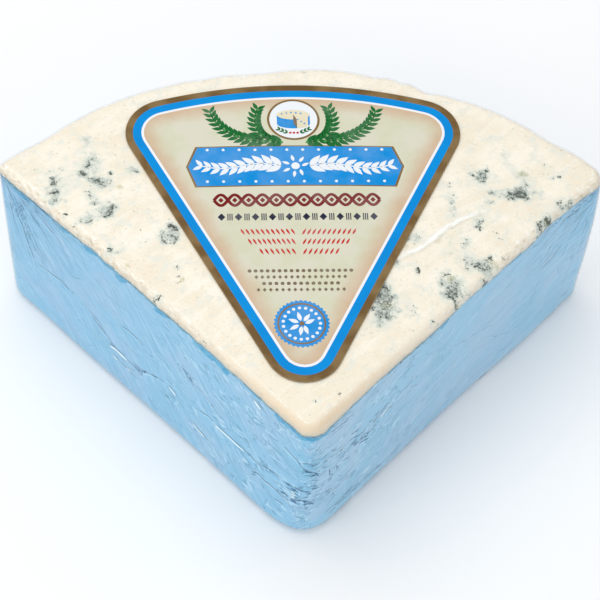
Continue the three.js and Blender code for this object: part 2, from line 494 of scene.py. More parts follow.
def drawLines(lines, across, up):
    # Relief of the creases, the signed distance to the nearest one, and how strong it is there.
    relief, strength = np.zeros(across.shape), np.zeros(across.shape)
    gap = np.full(across.shape, lineReach)
    for width, depth, strong, points in lines:
        low, high = points.min(0) - lineReach, points.max(0) + lineReach
        near = (across > low[0]) & (across < high[0]) & (up > low[1]) & (up < high[1])
        if not near.any():
            continue
        a, h = across[near], up[near]
        best, taper = np.full(a.shape, 1e9), np.zeros(a.shape)
        run = len(points) - 1
        for i, (start, stop) in enumerate(zip(points[:-1], points[1:])):
            step = stop - start
            t = np.clip(((a - start[0]) * step[0] + (h - start[1]) * step[1]) / (step @ step), 0, 1)
            da, dh = a - start[0] - t * step[0], h - start[1] - t * step[1]
            apart = np.hypot(da, dh)
            closer = apart < np.abs(best)
            best = np.where(closer, apart * np.where(step[0] * dh > step[1] * da, 1, -1), best)
            taper = np.where(closer, np.sin(math.pi * np.clip((i + t) / run, 0, 1)) ** .5, taper)
        valley = np.exp(-(best / width) ** 2) * taper
        lip = np.exp(-((np.abs(best) - foldLip["at"] * width) / width) ** 2) * taper
        relief[near] -= depth * (valley - foldLip["height"] * lip)
        nearer = np.abs(best) < np.abs(gap[near])
        gap[near] = np.where(nearer, best, gap[near])
        strength[near] = np.where(nearer, strong * taper, strength[near])
    return relief, gap, strength


skinCreases = creaseList(skinSide)


def sideRelief(side, z):
    # Outward relief of wrap and film for rows of heights, and the creases' distance and strength.
    around = np.broadcast_to(side["signed"], z.shape)
    x, y = side["base"].T
    relief, gap, strength = drawLines(skinCreases, around, z)
    relief = skinRelief["creases"] * relief
    for depth, size, seed, upright in skinRelief["waves"]:
        relief = relief + depth * softNoise(x, y, z * upright, size, seed)
    relief = relief - skinRelief["sink"]
    return relief * ramp(z, 0, 5) * ramp(topZ - z, .5, 5), gap, strength


# the cheese

cheeseShape = {
    "underFilm": 0.22,       # the paste below the film on top
    "side": 0.38,            # the paste inside the film at the sides, above the wrap
    "sideDeep": 2.1,         # the same, under the wrap
    "lumps": 0.14,
    "lumpSize": 7,
    "crumble": 0.5,          # pits in the mouldy places
    "crumbSize": 1.6,
    "crackDepth": 0.7,       # of the veins
    "crackWidth": .55,
    "smear": 2.2,            # how far the veins stray where they turn down over the edge
    "smearSize": 1.9,
    "floor": 0.9,
}

veins = {
    # strength of the mould, then x and the distance from the cuts' meeting point for each point that
    # the vein runs through
    "lines": [
        (1, -78, 104, -76, 101.5), (.6, -76, 101, -72, 100, -69, 97.5), (.9, -70.5, 98.5, -68.6, 97),
        (.4, -68.5, 98, -66, 100), (.6, -77, 105, -75, 107, -74, 106), (.3, -74, 108, -73, 110),
        (.9, -68, 104, -67, 102), (.3, -67, 101, -68, 99), (.25, -65, 104, -64, 110),
        (1, -88, 101, -86.5, 99.5), (.8, -88, 98.5, -85.6, 98), (.3, -89, 104, -88, 102),
        (.8, -88.5, 94, -86, 94.6, -84, 94), (.5, -86, 92, -85, 90), (.3, -87, 93, -85, 91.5),
        (.4, -75, 96, -74, 93, -73, 91), (.6, -73, 91, -72, 88.6), (.3, -72, 88, -70, 86),
        (.9, -66, 90, -65.4, 87), (.8, -65.5, 87.5, -67, 85, -69, 84), (.5, -70, 87, -69, 84),
        (.25, -69, 90, -66, 91), (.3, -70, 86, -68, 88), (.5, -77, 83, -75.5, 82),
        (.6, -75.4, 82.2, -73, 82, -72, 83.4), (1, -83, 85.4, -80.6, 84.6), (.5, -79, 80.6, -77.6, 79.6),
        (1, -47.6, 80, -45.6, 81, -43.2, 78.6), (.3, -47, 83, -46, 84),
        (.6, -48, 79, -49, 76, -48, 74, -46, 72.6), (.6, -46, 73, -44, 74, -43.8, 77),
        (.5, -47, 78, -44, 76), (.4, -48, 76, -47, 74), (.9, -67, 71, -64.6, 70),
        (.4, -64, 70, -63, 68.4), (.6, -60, 104.6, -58.6, 103.6, -57, 104.6), (.25, -63, 105, -60, 107),
        (.3, -94, 104, -91, 103), (.3, -86, 105, -83, 104), (.3, -93, 98, -92, 97),
        (.3, -56, 81, -56, 77), (.3, -59, 88, -57, 85.6), (.2, -58, 75, -52, 73),
        (.5, -43, 65, -43.6, 62.4), (.6, -43, 60.6, -42, 59.6), (.5, -43.6, 58, -42, 57),
        (.2, -59, 67, -60, 64), (.3, -83, 89, -81, 88), (.7, -52.6, 49.2, -50, 50.8, -47, 52.4),
        (.5, -51, 49, -51.6, 53), (.5, -54, 52, -51, 49.6), (.4, -58, 54, -56, 52),
        (.5, -35, 35, -33, 33.6), (.25, -36, 39, -35, 36), (.2, -60, 57, -56, 55),
        (.8, 59, 104, 60, 104.4), (.5, 61, 105, 63, 106.4), (.9, 63.2, 106.8, 65, 106.6),
        (.6, 61, 101.4, 64, 101.8), (.4, 62, 104, 64, 103), (.3, 70, 115, 71, 113),
        (.3, 75, 107, 77, 105, 78, 102), (.5, 78, 101.6, 78.6, 99.4), (.3, 73, 100, 74, 100),
        (.9, 75.6, 99, 75, 97, 72.4, 96.6), (.9, 76, 98, 77.6, 94.8), (.8, 77, 95, 74, 95.4),
        (.7, 72, 96, 69.6, 94.8), (.6, 71, 95, 70.6, 93), (.5, 63, 97.6, 67, 96),
        (.6, 64, 97, 64.4, 95.6), (.4, 82, 97, 83, 96), (.4, 84, 109, 86, 110), (.6, 87, 104, 88, 103.6),
        (.6, 89, 104.6, 90.6, 104.6), (1, 80.6, 85, 82, 82.6), (.9, 82.4, 86, 84, 84.4, 86, 86),
        (.8, 83, 83, 84.6, 82), (.6, 82, 84, 85.6, 84.6), (.4, 90, 93, 91, 91), (.5, 88, 90, 90, 91),
        (.7, 50.6, 101, 51, 99.6), (.5, 51, 96, 52, 95), (.25, 50, 92, 50.4, 86),
        (.9, 59, 84.4, 60.6, 84), (.6, 61, 84, 61.4, 85), (.4, 64, 90.4, 65, 90.6), (.4, 53, 76, 55, 73),
        (.2, 44, 77, 52, 80), (.3, 66, 78, 68, 76), (1, 37, 64.6, 38, 63.4, 38, 61.8),
        (.3, 51, 70, 55, 66), (.6, 54.6, 67, 57, 65.4, 60, 64.6, 63, 64), (.9, 56.4, 65.6, 57.2, 65.2),
        (.5, 59.6, 68.4, 62, 67), (.4, 62, 67, 63.6, 64.6), (.4, 52.6, 66, 53, 63),
        (.3, 58, 67, 62, 65.6), (.3, 59, 61, 64, 62), (.8, 45.6, 55, 48, 53, 50.6, 51),
        (1, 49, 51.8, 51.4, 50.2), (.6, 44.6, 60.6, 47, 62, 49, 61), (.6, 44.8, 59, 45.6, 57),
        (.5, 48, 59.6, 51, 58), (.4, 46, 57, 49, 55.4), (.4, 48, 57, 52, 55), (.4, 52, 56, 54, 53),
        (.3, 50, 55, 53, 52), (1, 59.8, 59.6, 60.8, 58.8), (.3, 41, 57, 42, 55),
        (.7, 24, 58, 26, 56.6, 28, 54), (.8, 28, 54, 28.6, 50.6), (.6, 22, 54, 25, 53.4),
        (.5, 22, 50.6, 25, 50), (.5, 25, 51, 28, 49), (.6, 21, 49, 22, 46.6), (.5, 22, 46, 25, 44.4),
        (.7, 25, 45, 28, 44), (.5, 28, 46, 29, 44), (.5, 23, 42, 24, 40), (.4, 21, 52, 24, 55),
        (.4, 30, 48, 29, 46), (.35, 33, 47, 34, 48, 36, 47, 35.6, 45.4), (.3, 33, 45.6, 35, 45),
        (.6, 40.8, 44, 42, 43), (.4, 34, 40, 35, 39.4), (.5, 42, 42, 44, 42.6), (.9, 29, 66.6, 31, 67.6),
        (.4, 33, 75.6, 36, 77), (.3, 37, 78, 39, 78.4), (.8, 2, 13.4, 2, 12.2), (.5, 9.8, 16, 9.8, 15),
        (.3, 90, 117, 93, 115.6), (.2, 13, 26, 14, 30), (.25, 30, 30, 33, 32),
        (.35, -76.7, 119, -76.4, 115), (.5, -75, 109.4, -75.6, 107, -74.2, 106.2),
        (.4, -66.4, 113, -66, 110.6), (.7, -74.4, 101, -71.6, 99.8, -69.2, 98),
        (.7, -87.4, 100, -85.8, 97.6), (.5, -74.6, 96, -74, 93.6), (.5, -86, 91.8, -84.6, 90.4),
        (.8, 70, 97, 73, 96.4, 76, 97.2), (.7, 74, 98.6, 77.4, 97), (.6, 76, 94, 78.6, 94.6),
        (.6, 70.6, 94.6, 73.6, 94), (1, 83, 86.4, 84, 84), (.9, 84.6, 83, 86, 81),
        (.5, 92, 94.4, 94.4, 93), (.5, 93, 92, 95, 91.4), (.4, 50.6, 100.8, 51, 98.4),
        (.7, 60, 68.6, 62, 67), (.5, 66, 69.6, 68, 67.6), (.6, 57, 66, 60, 66.6),
        (1, 59, 61, 60.4, 59.6, 61.4, 58.2), (.8, 47, 55.4, 50, 53), (.7, 46, 61.6, 49, 62),
        (.4, 43, 43, 45.4, 41.6), (.3, 33.4, 49, 35, 49.4, 36.6, 47.4),
        (1, 79.4, 84.6, 80.4, 82.4, 82, 80.6), (.9, 84.6, 86.8, 86.8, 85.4),
        (.6, 91, 94.4, 92.6, 92.4, 95, 93), (.5, 87, 92.4, 90, 93.4), (.5, 62, 62.6, 65, 63.4, 66, 65),
        (.5, 67, 70.6, 69.6, 69.4), (.45, 50.3, 100.2, 50.9, 98.5), (.5, 50.2, 92.8, 51.2, 91.6),
        (.45, 50, 87, 51.2, 86), (.45, 38.2, 78.1, 39.2, 76.2), (.4, 35.8, 75.2, 37.4, 74.2),
        (.4, 49.6, 81.4, 50.8, 80.6), (.9, 58, 83, 59.3, 81.3, 60.8, 82.2), (.7, 59.3, 81.3, 59.8, 79.9),
        (.5, 54.6, 77.6, 55.1, 73.6), (.5, 52.8, 69, 54.4, 66.6, 56.2, 65.6),
        (.8, 60.8, 68.8, 62.3, 69.3, 62.9, 67.2), (.5, 54.4, 66.4, 54.1, 62.6),
        (.35, 63.6, 80.2, 66.4, 78.8), (.45, 65.9, 93.2, 63.3, 91.4),
    ],
    # grey-green clouds: x, distance, half length, half width, turn in degrees, depth of colour
    "clouds": [
        (-78, 102, 7, 5, 30, .35), (-69, 99, 6, 4, 0, .5), (-74, 107, 5, 4, 40, .45),
        (-86, 98, 5, 6, 0, .35), (-86, 92, 4.4, 4, 0, .6), (-67, 87, 4.4, 3.4, 20, .9),
        (-73, 92, 3, 7, 0, .4), (-59, 105, 4, 3, 0, .6), (-75, 83, 5, 2.8, 0, .55),
        (-46, 77, 4, 4.6, 0, .8), (-65, 70, 4, 2.4, 0, .55), (-51, 50, 4.4, 3, 20, .35),
        (-92, 103, 4, 2.4, 0, .25), (-43, 61, 3, 5, 0, .25), (-76, 112, 5, 4, 0, .2),
        (-55, 72, 8, 3, 10, .2), (62, 104, 4.2, 3.6, 10, .95), (71, 112, 2.6, 5, 0, .4),
        (75, 97, 4.4, 3, 20, 1), (77, 104, 3.4, 4.4, 30, .6), (66, 97, 5, 2.6, 0, .45),
        (84, 84.6, 4, 3.6, 40, .9), (89, 92, 4, 3, 30, .65), (51, 93, 2.4, 9, 0, .3),
        (60, 87, 5, 4, 40, .4), (82, 96, 3, 3, 0, .4), (59, 65.6, 6, 3.6, -20, .75),
        (48.6, 56.6, 5, 5, -40, .85), (25, 53, 4, 6, 0, 1), (25, 46, 5, 4, 30, .85),
        (23, 41, 3, 3, 0, .4), (35, 46.4, 3, 2.4, 0, .35), (36, 77, 5, 2.4, 20, .45),
        (54, 75, 4, 4, 0, .25), (30, 66, 2.4, 2, 0, .6), (42, 43, 3, 2, 0, .3), (60, 59, 2.4, 2, 0, .5),
        (85, 109, 3, 2.4, 0, .25), (88, 104, 4, 2, 0, .3), (47, 70, 6, 4, 20, .2),
        (-76.5, 117, 3, 5, 0, .35), (-75, 108, 3.4, 3.4, 0, .35), (-71, 99, 4, 2.4, -30, .45),
        (93.6, 93, 3, 2, 40, .5), (-87, 98, 3, 3.4, 0, .4), (74, 96, 6, 2.6, 0, .6),
        (48, 56, 4, 6, 0, .4), (27, 51, 6, 8, 0, .3), (50.5, 92, 1.8, 8, 0, .35),
        (59.5, 83, 3.6, 2.4, 20, .4), (38, 76.4, 3, 2.4, 0, .35), (47.6, 74, 3, 4, 0, .3),
        (55, 75.6, 1.6, 3.4, 0, .35), (64, 93, 5, 3, 30, .35), (58, 66.6, 6, 3, -20, .3),
    ],
    # yellow-green stains: x, distance, reach
    "stains": [
        (77, 105, 2.4), (-64, 97, 1.8), (48, 60, 2), (63, 67, 2), (50.6, 51, 1.6), (84, 85, 1.8),
        (-42, 58, 1.6), (33, 73, 2), (27, 50, 2.4), (-60, 64, 1.4), (45.2, 75.4, 2),
    ],
    "reach": 3.0,            # of a vein's own grey shade
    "seed": 11,
}


def addSpot(field, x, y, centre, along, across, turn, amount):
    # Adds a soft oval spot to a field that stays below 1.
    near = (np.abs(x - centre[0]) < 3 * along) & (np.abs(y - centre[1]) < 3 * along)
    dx, dy = x[near] - centre[0], y[near] - centre[1]
    u = dx * math.cos(turn) + dy * math.sin(turn)
    v = dy * math.cos(turn) - dx * math.sin(turn)
    field[near] += (1 - field[near]) * amount * np.exp(-(u / along) ** 2 - (v / across) ** 2)


def veinFields(x, y):
    # Distance to the nearest vein and its strength, the grey clouds, and the yellowish stains.
    dice = np.random.default_rng(veins["seed"])
    lines = [mark(1.0, depth / 2, wander(pairs(line) + (0, tipY), dice, .22, .8), .95 * depth)
             for depth, *line in veins["lines"]]
    gap, strength = drawLines(lines, x, y)[1:]
    cloud, stain = np.zeros(x.shape), np.zeros(x.shape)
    for cx, cy, along, across, turn, amount in veins["clouds"]:
        addSpot(cloud, x, y, (cx, cy + tipY), max(along, across), min(along, across),
                math.radians(turn if along >= across else turn + 90), amount)
    for cx, cy, reach in veins["stains"]:
        addSpot(stain, x, y, (cx, cy + tipY), reach, reach, 0, 1)
    return gap, strength, cloud, stain


def distanceTo(points, loop):
    # Distance from each point to the nearest point of a loop, and which point that is.
    distance, nearest = [], []
    batch = 2000             # points at a time, to save memory
    for i in range(0, len(points), batch):
        apart = np.hypot(*(points[i:i + batch, None] - loop[None]).transpose(2, 0, 1))
        distance.append(apart.min(1))
        nearest.append(apart.argmin(1))
    return np.concatenate(distance), np.concatenate(nearest)


def buildCheese():
    shape = cheeseShape
    cells = wedge["pasteCells"]
    side = wedgeSides(cells)
    brow = browLine(side, shape["side"])
    patch = coonsPatch(brow, cells)
    x, y = patch.T
    gap, strength, cloud, stain = veinFields(x, y)
    crack = strength * np.exp(-(gap / shape["crackWidth"]) ** 2)
    lumps = (1 + layeredNoise(x, y, 0, shape["lumpSize"], 21)) / 2
    crumbs = (1 + softNoise(x, y, 0, shape["crumbSize"], 23)) / 2
    under = (shape["underFilm"] + shape["lumps"] * lumps + shape["crumble"] * cloud * crumbs
             + shape["crackDepth"] * crack)
    top = np.column_stack((patch, filmTop(x, y) - under))

    # the walls step in under the wrap's edge
    edge = wedge["topEdge"]
    flat = np.ones(side["count"])
    bare = np.maximum(rimDrop(side), edge + .2)
    drops = [drop * flat for drop in edgeDrops(8)]
    drops += [edge * .7 + bare * .3, edge * .3 + bare * .7, bare - .12, bare + .15]
    drops += [topZ * .5 * flat, topZ * .8 * flat] + [topZ - z * flat for z in (4, 2, 1)]
    levels = topZ - np.array(drops)
    depth = np.where(levels > topZ - bare, shape["side"], shape["sideDeep"])
    walls = sidePoints(side, levels, depth)
    walls[..., 2] -= (side["sag"] + under[patchRim(cells)]) * nearTop(levels)
    walls[..., 2] = np.maximum(walls[..., 2], shape["floor"])
    points, mesh = shellMesh("cheesePaste", cells, top, walls)
    piece = finishPiece(mesh, "cheesePaste", "cheese")

    px, py, pz = points.T
    stray = shape["smear"] * ramp(topZ - pz, .3, 3.5)
    strayX, strayY = [stray * softNoise(px, py, pz, shape["smearSize"], seed) for seed in (25, 27)]
    gap, strength, cloud, stain = veinFields(px + strayX, py + strayY)
    setLineFields(piece, "vein", gap, strength)
    setField(piece, "cloud", cloud)
    setField(piece, "stain", stain)
    # where grains of mould sit
    grit = np.clip(1.3 * crack - .15, 0, 1) + .3 * np.clip(cloud[:len(top)] * (.4 + crumbs) - .5, 0, 1)
    setField(piece, "grit", np.concatenate((grit, np.zeros(levels.size))))
    # distance over the edge, less than nought on the top
    turned = np.arccos(np.clip(1 - (topZ - levels) / edge, 0, 1)) * edge
    over = turned + np.maximum(topZ - edge - levels, 0)
    inward, nearest = distanceTo(patch, brow)
    setField(piece, "overEdge", np.concatenate((-inward, over.ravel())))
    alongRim = np.broadcast_to(side["signed"], levels.shape)
    setField(piece, "alongRim", np.concatenate((side["signed"][nearest], alongRim.ravel())))
    # height above the wrap's edge, which the top is well clear of
    above = bare - (topZ - levels)
    setField(piece, "bareEdge", np.concatenate((np.full(len(top), 9), above.ravel())))
    return piece


cheese = buildCheese()
print("cheese shaped,", len(cheese.data.polygons), "faces")


# the blue wrap

def buildWrap():
    shape, side = wrapShape, skinSide
    rim = topZ - rimDrop(side)
    low, thick = shape["lowest"], shape["thickness"]
    share = np.linspace(0, 1, shape["rows"])[:, None] ** shape["rowCrowd"]
    z = low + share * (rim - low)
    relief, gap, strength = sideRelief(side, z)
    outer = sidePoints(side, z, shape["depth"], relief)
    outer[..., 2] -= side["sag"] * nearTop(z)
    innerZ = low + thick + np.array([[1], [.5], [0]]) * (rim - shape["tuck"] - low - thick)
    inner = sidePoints(side, innerZ, shape["depth"] + thick + shape["tuckIn"])
    inner[0] = outer[-1]
    inner[0, :, :2] -= side["normal"] * thick
    points = np.vstack((outer.reshape(-1, 3), inner.reshape(-1, 3)))
    rings = np.arange(len(points)).reshape(-1, side["count"])
    faces = ringFaces(rings[::-1]).tolist() + [rings[0][::-1], rings[-1]]
    piece = finishPiece(makeMesh("blueWrap", points, faces), "blueWrap", "foil_wrap")

    around = np.broadcast_to(side["signed"], z.shape)
    wet = np.zeros(z.shape)
    for a, below, length, height, tilt in shape["wetPlaces"]:
        addSpot(wet, around, rim - z, (a, below), length, height, tilt, 1)
    within = np.zeros(inner.shape[:2])             # the inner rows carry no marks
    setLineFields(piece, "crease", np.vstack((gap, within + lineReach)), np.vstack((strength, within)))
    setField(piece, "wet", np.vstack((wet, within)))
    setField(piece, "belowRim", np.vstack((rim - z, within + 9)))
    # directions and distances from the shoulders' top corners, where the wrap is gathered
    fromShoulder = np.vstack((side["shoulderAt"] - np.abs(around), within + 1))
    down = np.vstack((topZ - z, within + 40))
    setField(piece, "fanAngle", np.arctan2(down, fromShoulder))
    setField(piece, "fanReach", np.hypot(down, fromShoulder))
    setField(piece, "along", np.abs(np.vstack((around, within + side["signed"]))))
    # from 0 on the left hand to 1 on the right, meeting halfway at the tip and at the back
    toBack = side["length"] / 2 - np.abs(side["signed"])
    turned = np.sign(side["signed"]) * np.clip(toBack / (side["length"] / 2 - side["shoulderAt"]), 0, 1)
    hand = .5 + .5 * turned * np.clip(np.abs(side["signed"]) / 5, 0, 1)
    drift = 8 * hand + 12 * np.sin(math.pi * turned)
    for name, values in (("hand", hand), ("drift", drift)):
        setField(piece, name, np.broadcast_to(values, (len(rings), side["count"])))
    return piece


blueWrap = buildWrap()
print("wrap shaped,", len(blueWrap.data.polygons), "faces")


# the clear film

filmShape = {
    "rows": 76,
    # folds on the top: relief width, height, then x and distance from the cuts' meeting point
    "topFolds": [
        (1.6, .52, 27, 65, 33, 69, 38.5, 72, 44, 77.2, 50, 82.6, 56.6, 86.2, 65, 89),
        (.9, .24, 36, 78, 41, 80.4, 46, 83), (.7, .24, 55, 55, 58, 57.6, 61, 60.8),
        (.7, .2, 64, 63, 67, 66, 69, 69.4), (.7, .2, 46, 58, 49, 60, 53, 60.6),
        (.9, .28, -88, 89, -84, 84.8, -81, 81.6), (.9, .26, -78, 79.6, -75, 76.4),
    ],
    # bright folds on the sides: width, strength, then distance from the tip and height
    "glints": [
        (1, .5, -95, 22.2, -90, 22.8, -86, 22.2), (1, .5, -64, 29, -61, 27), (1, .5, -86, 17.4, -84, 17),
        (1, .4, -93, 17.4, -91, 17), (1, .5, -41, 31, -34, 31, -27, 30.8),
        (1, .5, -52, 19, -48, 17.6, -46, 16.6), (1, .5, -5, 29.6, -3.6, 29),
        (1, .5, -4.6, 26.6, -3.4, 26), (1, .35, -24, 66, -21, 64), (1, .3, 99, 2, 94, 2),
        (1, .1, 34, 43, 38, 45.6, 41, 47.4),
    ],
    "sheenAndMilk": .3,             # height of a fold that is mostly milky
    "seed": 3,
}


def buildFilm():
    shape, side = filmShape, skinSide
    dice = np.random.default_rng(shape["seed"])
    cells = side["cells"]
    patch = coonsPatch(browLine(side, 0), cells)
    x, y = patch.T
    folds = [mark(width, -height, wander(pairs(line) + (0, tipY), dice, .15))
             for width, height, *line in shape["topFolds"]]
    lift = drawLines(folds, x, y)[0]
    top = np.column_stack((patch, np.minimum(filmTop(x, y) + lift, topZ - .02)))

    heights = np.concatenate((topZ - edgeDrops(7),
                              np.linspace(topZ - wedge["topEdge"], .25, shape["rows"])[1:], [0]))
    levels = np.repeat(heights[:, None], side["count"], 1)
    walls = sidePoints(side, levels, 0, sideRelief(side, levels)[0])
    walls[..., 2] -= side["sag"] * nearTop(levels)
    mesh = shellMesh("clearFilm", cells, top, walls)[1]
    piece = finishPiece(mesh, "clearFilm", "clear_film")
    glints = [mark(width, depth, wander(pairs(line), dice, .1))
              for width, depth, *line in shape["glints"]]
    gap, strength = drawLines(glints, np.broadcast_to(side["signed"], levels.shape), levels)[1:]
    plain = np.zeros(len(top))
    setLineFields(piece, "glint", np.concatenate((plain + lineReach, gap.ravel())),
                  np.concatenate((plain, strength.ravel())))
    # how milky each fold is painted: partly the film's own whitening, partly painted sheen on the raised
    # fold
    milkySheen = np.clip(lift / shape["sheenAndMilk"] - .4, 0, 1)
    setField(piece, "milkySheen", np.concatenate((milkySheen, np.zeros(levels.size))))
    return piece


clearFilm = buildFilm()
print("film shaped,", len(clearFilm.data.polygons), "faces")


# the label: paper stuck on the film

labelShape = {
    "tip": 19, "far": 144,               # along the middle line, from the cuts' meeting point
    "half": 27.4,                        # each side from the middle line, in degrees
    "tipRound": 13, "cornerRound": 15, "bow": 167,
    "offset": -2.6, "turn": 1.3,         # stuck on a little askew
    "height": 0.30, "thickness": 0.27,   # above the film
    "cells": 64,
    "insets": [0, .4, 1, 2, 3, 4.5, 6, 7.5, 9, 11],      # rows of points inside the edge
}


def labelPlace(points):
    # From the label's own upright frame to the pack's.
    turn = math.radians(labelShape["turn"])
    middle = (labelShape["tip"] + labelShape["far"]) / 2
    x, y = np.asarray(points, float).T
    y = y - middle
    return np.column_stack((x * math.cos(turn) - y * math.sin(turn) + labelShape["offset"],
                            x * math.sin(turn) + y * math.cos(turn) + middle + tipY))


def labelLoop(inset, cells):
    shape = labelShape
    half = math.radians(shape["half"])
    apexY = shape["tip"] + shape["tipRound"] - shape["tipRound"] / math.sin(half) + inset / math.sin(half)
    return sectorLoop(cells, apexY, half, shape["tipRound"] - inset, shape["cornerRound"] - inset,
                      shape["bow"] - inset, shape["far"] - shape["bow"])


def labelTop(x, y):
    return filmTop(x, y) + labelShape["height"]


def buildLabel():
    cells = labelShape["cells"]
    insets = labelShape["insets"]
    loops = [labelLoop(inset, cells) for inset in insets]
    patch = labelPlace(coonsPatch(loops[-1], cells))
    outer = labelPlace(np.vstack(loops[:-1]))
    flat = np.vstack((patch, outer))
    top = np.column_stack((flat, labelTop(*flat.T)))
    under = labelPlace(coonsPatch(loops[0], cells))
    under = np.column_stack((under, labelTop(*under.T) - labelShape["thickness"]))
    count = 4 * cells
    rings = [patchRim(cells)]
    rings += [len(patch) + i * count + np.arange(count) for i in reversed(range(len(insets) - 1))]
    rings.append(patchRim(cells, len(top)))
    faces = gridFaces(cells + 1, cells + 1)[:, ::-1].tolist() + ringFaces(np.array(rings)).tolist()
    faces += gridFaces(cells + 1, cells + 1, len(top)).tolist()
    mesh = makeMesh("labelPaper", np.vstack((top, under)), faces)
    piece = finishPiece(mesh, "labelPaper", "label")

    # how far each point lies inside the label's edge
    local = coonsPatch(loops[-1], cells)
    inward = insets[-1] + distanceTo(local, loops[-1])[0]
    inward = np.concatenate((inward, np.repeat(insets[:-1], count), np.zeros(len(under))))
    setField(piece, "inward", inward)
    return piece


labelPaper = buildLabel()
print("label shaped,", len(labelPaper.data.polygons), "faces")


# material helpers: new nodes go into the tree in hand

inHand = {}


def paint(red, green, blue):
    # A paint-chart colour, 0 to 255, as the linear colour that shaders take.
    parts = [value / 255 for value in (red, green, blue)]
    return [p / 12.92 if p < .04 else ((p + .055) / 1.055) ** 2.4 for p in parts] + [1]


def setInputs(node, inputs):
    # Links or sets each input, by name or number.
    for key, value in inputs.items():
        if isinstance(value, bpy.types.NodeSocket):
            node.id_data.links.new(value, node.inputs[key])
        else:
            node.inputs[key].default_value = value


def addNode(kind, inputs=None, **settings):
    made = inHand["tree"].nodes.new(kind)
    for name, value in settings.items():
        setattr(made, name, value)
    setInputs(made, inputs or {})
    return made


def firstOf(kind, inputs=None, **settings):
    # A new node's first output.
    return addNode(kind, inputs, **settings).outputs[0]


def makeTree(name, kind, inputs, outputs):
    # A node group with named sockets: the tree, what comes in and what goes out.
    tree = inHand["tree"] = bpy.data.node_groups.new(name, kind)
    for label, socketKind, value in inputs:
        socket = tree.interface.new_socket(label, in_out="INPUT", socket_type="NodeSocket" + socketKind)
        if value is not None:
            socket.default_value = value
    for label, socketKind in outputs:
        tree.interface.new_socket(label, in_out="OUTPUT", socket_type="NodeSocket" + socketKind)
    return tree, tree.nodes.new("NodeGroupInput").outputs, tree.nodes.new("NodeGroupOutput")


def compute(operation, first, second=0.0, third=0.0):
    return firstOf("ShaderNodeMath", {0: first, 1: second, 2: third}, operation=operation)


def times(value, *factors):
    for factor in factors:
        value = compute("MULTIPLY", value, factor)
    return value


def plus(total, *added):
    # The total and each of the (value, factor) pairs multiplied out, one after another.
    for value, factor in added:
        total = compute("MULTIPLY_ADD", value, factor, total)
    return total


def away(value, middle):
    # How far a value is from a middle.
    return compute("ABSOLUTE", compute("SUBTRACT", value, middle))


def remap(value, low, high, newLow=0.0, newHigh=1.0):
    # Smooth step from newLow to newHigh as the value goes from low to high.
    inputs = {"Value": value, "From Min": low, "From Max": high, "To Min": newLow, "To Max": newHigh}
    return firstOf("ShaderNodeMapRange", inputs, interpolation_type="SMOOTHSTEP")


def blend(share, first, second):
    return firstOf("ShaderNodeMix", {0: share, 2: first, 3: second})


def combine(x, y, z=0.0):
    return firstOf("ShaderNodeCombineXYZ", {0: x, 1: y, 2: z})


def mixColour(share, first, second, blendType="MIX"):
    made = addNode("ShaderNodeMix", {0: share, 6: first, 7: second}, data_type="RGBA",
                   blend_type=blendType)
    return made.outputs[2]


def coat(under, share, colour):
    # Paint over what is there, as strong as the share.
    return mixColour(share, under, paint(*colour))


def tint(under, value, low, high, most, colour):
    # Paint that grows from nothing to its most as a value goes from low to high.
    return coat(under, remap(value, low, high, 0, most), colour)


def readField(name):
    return addNode("ShaderNodeAttribute", attribute_name=name).outputs["Fac"]


def noise(vector, scale, detail=3.0, rough=.5, bend=0.0):
    inputs = {"Vector": vector, "Scale": scale, "Detail": detail, "Roughness": rough, "Distortion": bend}
    return firstOf("ShaderNodeTexNoise", inputs)


def noiseAt(vector, size, detail=3.0, rough=.5):
    # Noise with lumps of the given size in millimetres.
    return noise(vector, 1000 / size, detail, rough)


def spread(vector, size, detail, rough=.6):
    # Noise about nought, mostly between -1 and 1.
    return compute("MULTIPLY_ADD", noiseAt(vector, size, detail, rough), 4.0, -2.0)


def stretched(vector, turn, length):
    # Draws a pattern out along a direction, given in degrees from the first axis.
    mapping = {"Vector": vector, "Rotation": (0, 0, math.radians(turn)), "Scale": (length, 1, 1)}
    return firstOf("ShaderNodeMapping", mapping, vector_type="TEXTURE")


def lineMask(name, middle, half):
    # Strength of the drawn lines, up to half a width from a middle a little to one side of each.
    mask = remap(away(readField(name + "Gap"), middle), half, half * .25)
    reached = remap(readField(name + "Near"), abs(middle) + half + .8, abs(middle) + half + .4)
    return times(mask, reached, readField(name + "Strength"))


def makeMottle():
    # Soft clouds with a chosen size and edge, as a mask and as a height.
    tree, given, result = makeTree("softMottle", "ShaderNodeTree",
                                   [("Vector", "Vector", None), ("Size", "Float", 8.0),
                                    ("Low", "Float", .35), ("High", "Float", .65)],
                                   [("Mask", "Float"), ("Height", "Float")])
    cloud = noise(given["Vector"], compute("DIVIDE", 1000.0, given["Size"]), 4.0, .55)
    setInputs(result, {"Mask": remap(cloud, given["Low"], given["High"]), "Height": cloud})
    return tree


def makeGrain():
    # Fine tooth of paper, foil or paste, as a height and as a faint shade.
    tree, given, result = makeTree("fineGrain", "ShaderNodeTree",
                                   [("Vector", "Vector", None), ("Size", "Float", .6),
                                    ("Shade", "Float", .04)],
                                   [("Height", "Float"), ("Shade", "Float")])
    grain = noise(given["Vector"], compute("DIVIDE", 1000.0, given["Size"]), 2.0, .7)
    swing = times(compute("SUBTRACT", grain, .5), given["Shade"])
    setInputs(result, {"Height": grain, "Shade": compute("ADD", swing, 1.0)})
    return tree


softMottle = makeMottle()
fineGrain = makeGrain()


def useGroup(group, **inputs):
    return addNode("ShaderNodeGroup", inputs, node_tree=group)


def shaded(colour, grain):
    return mixColour(1.0, colour, grain.outputs["Shade"], "MULTIPLY")


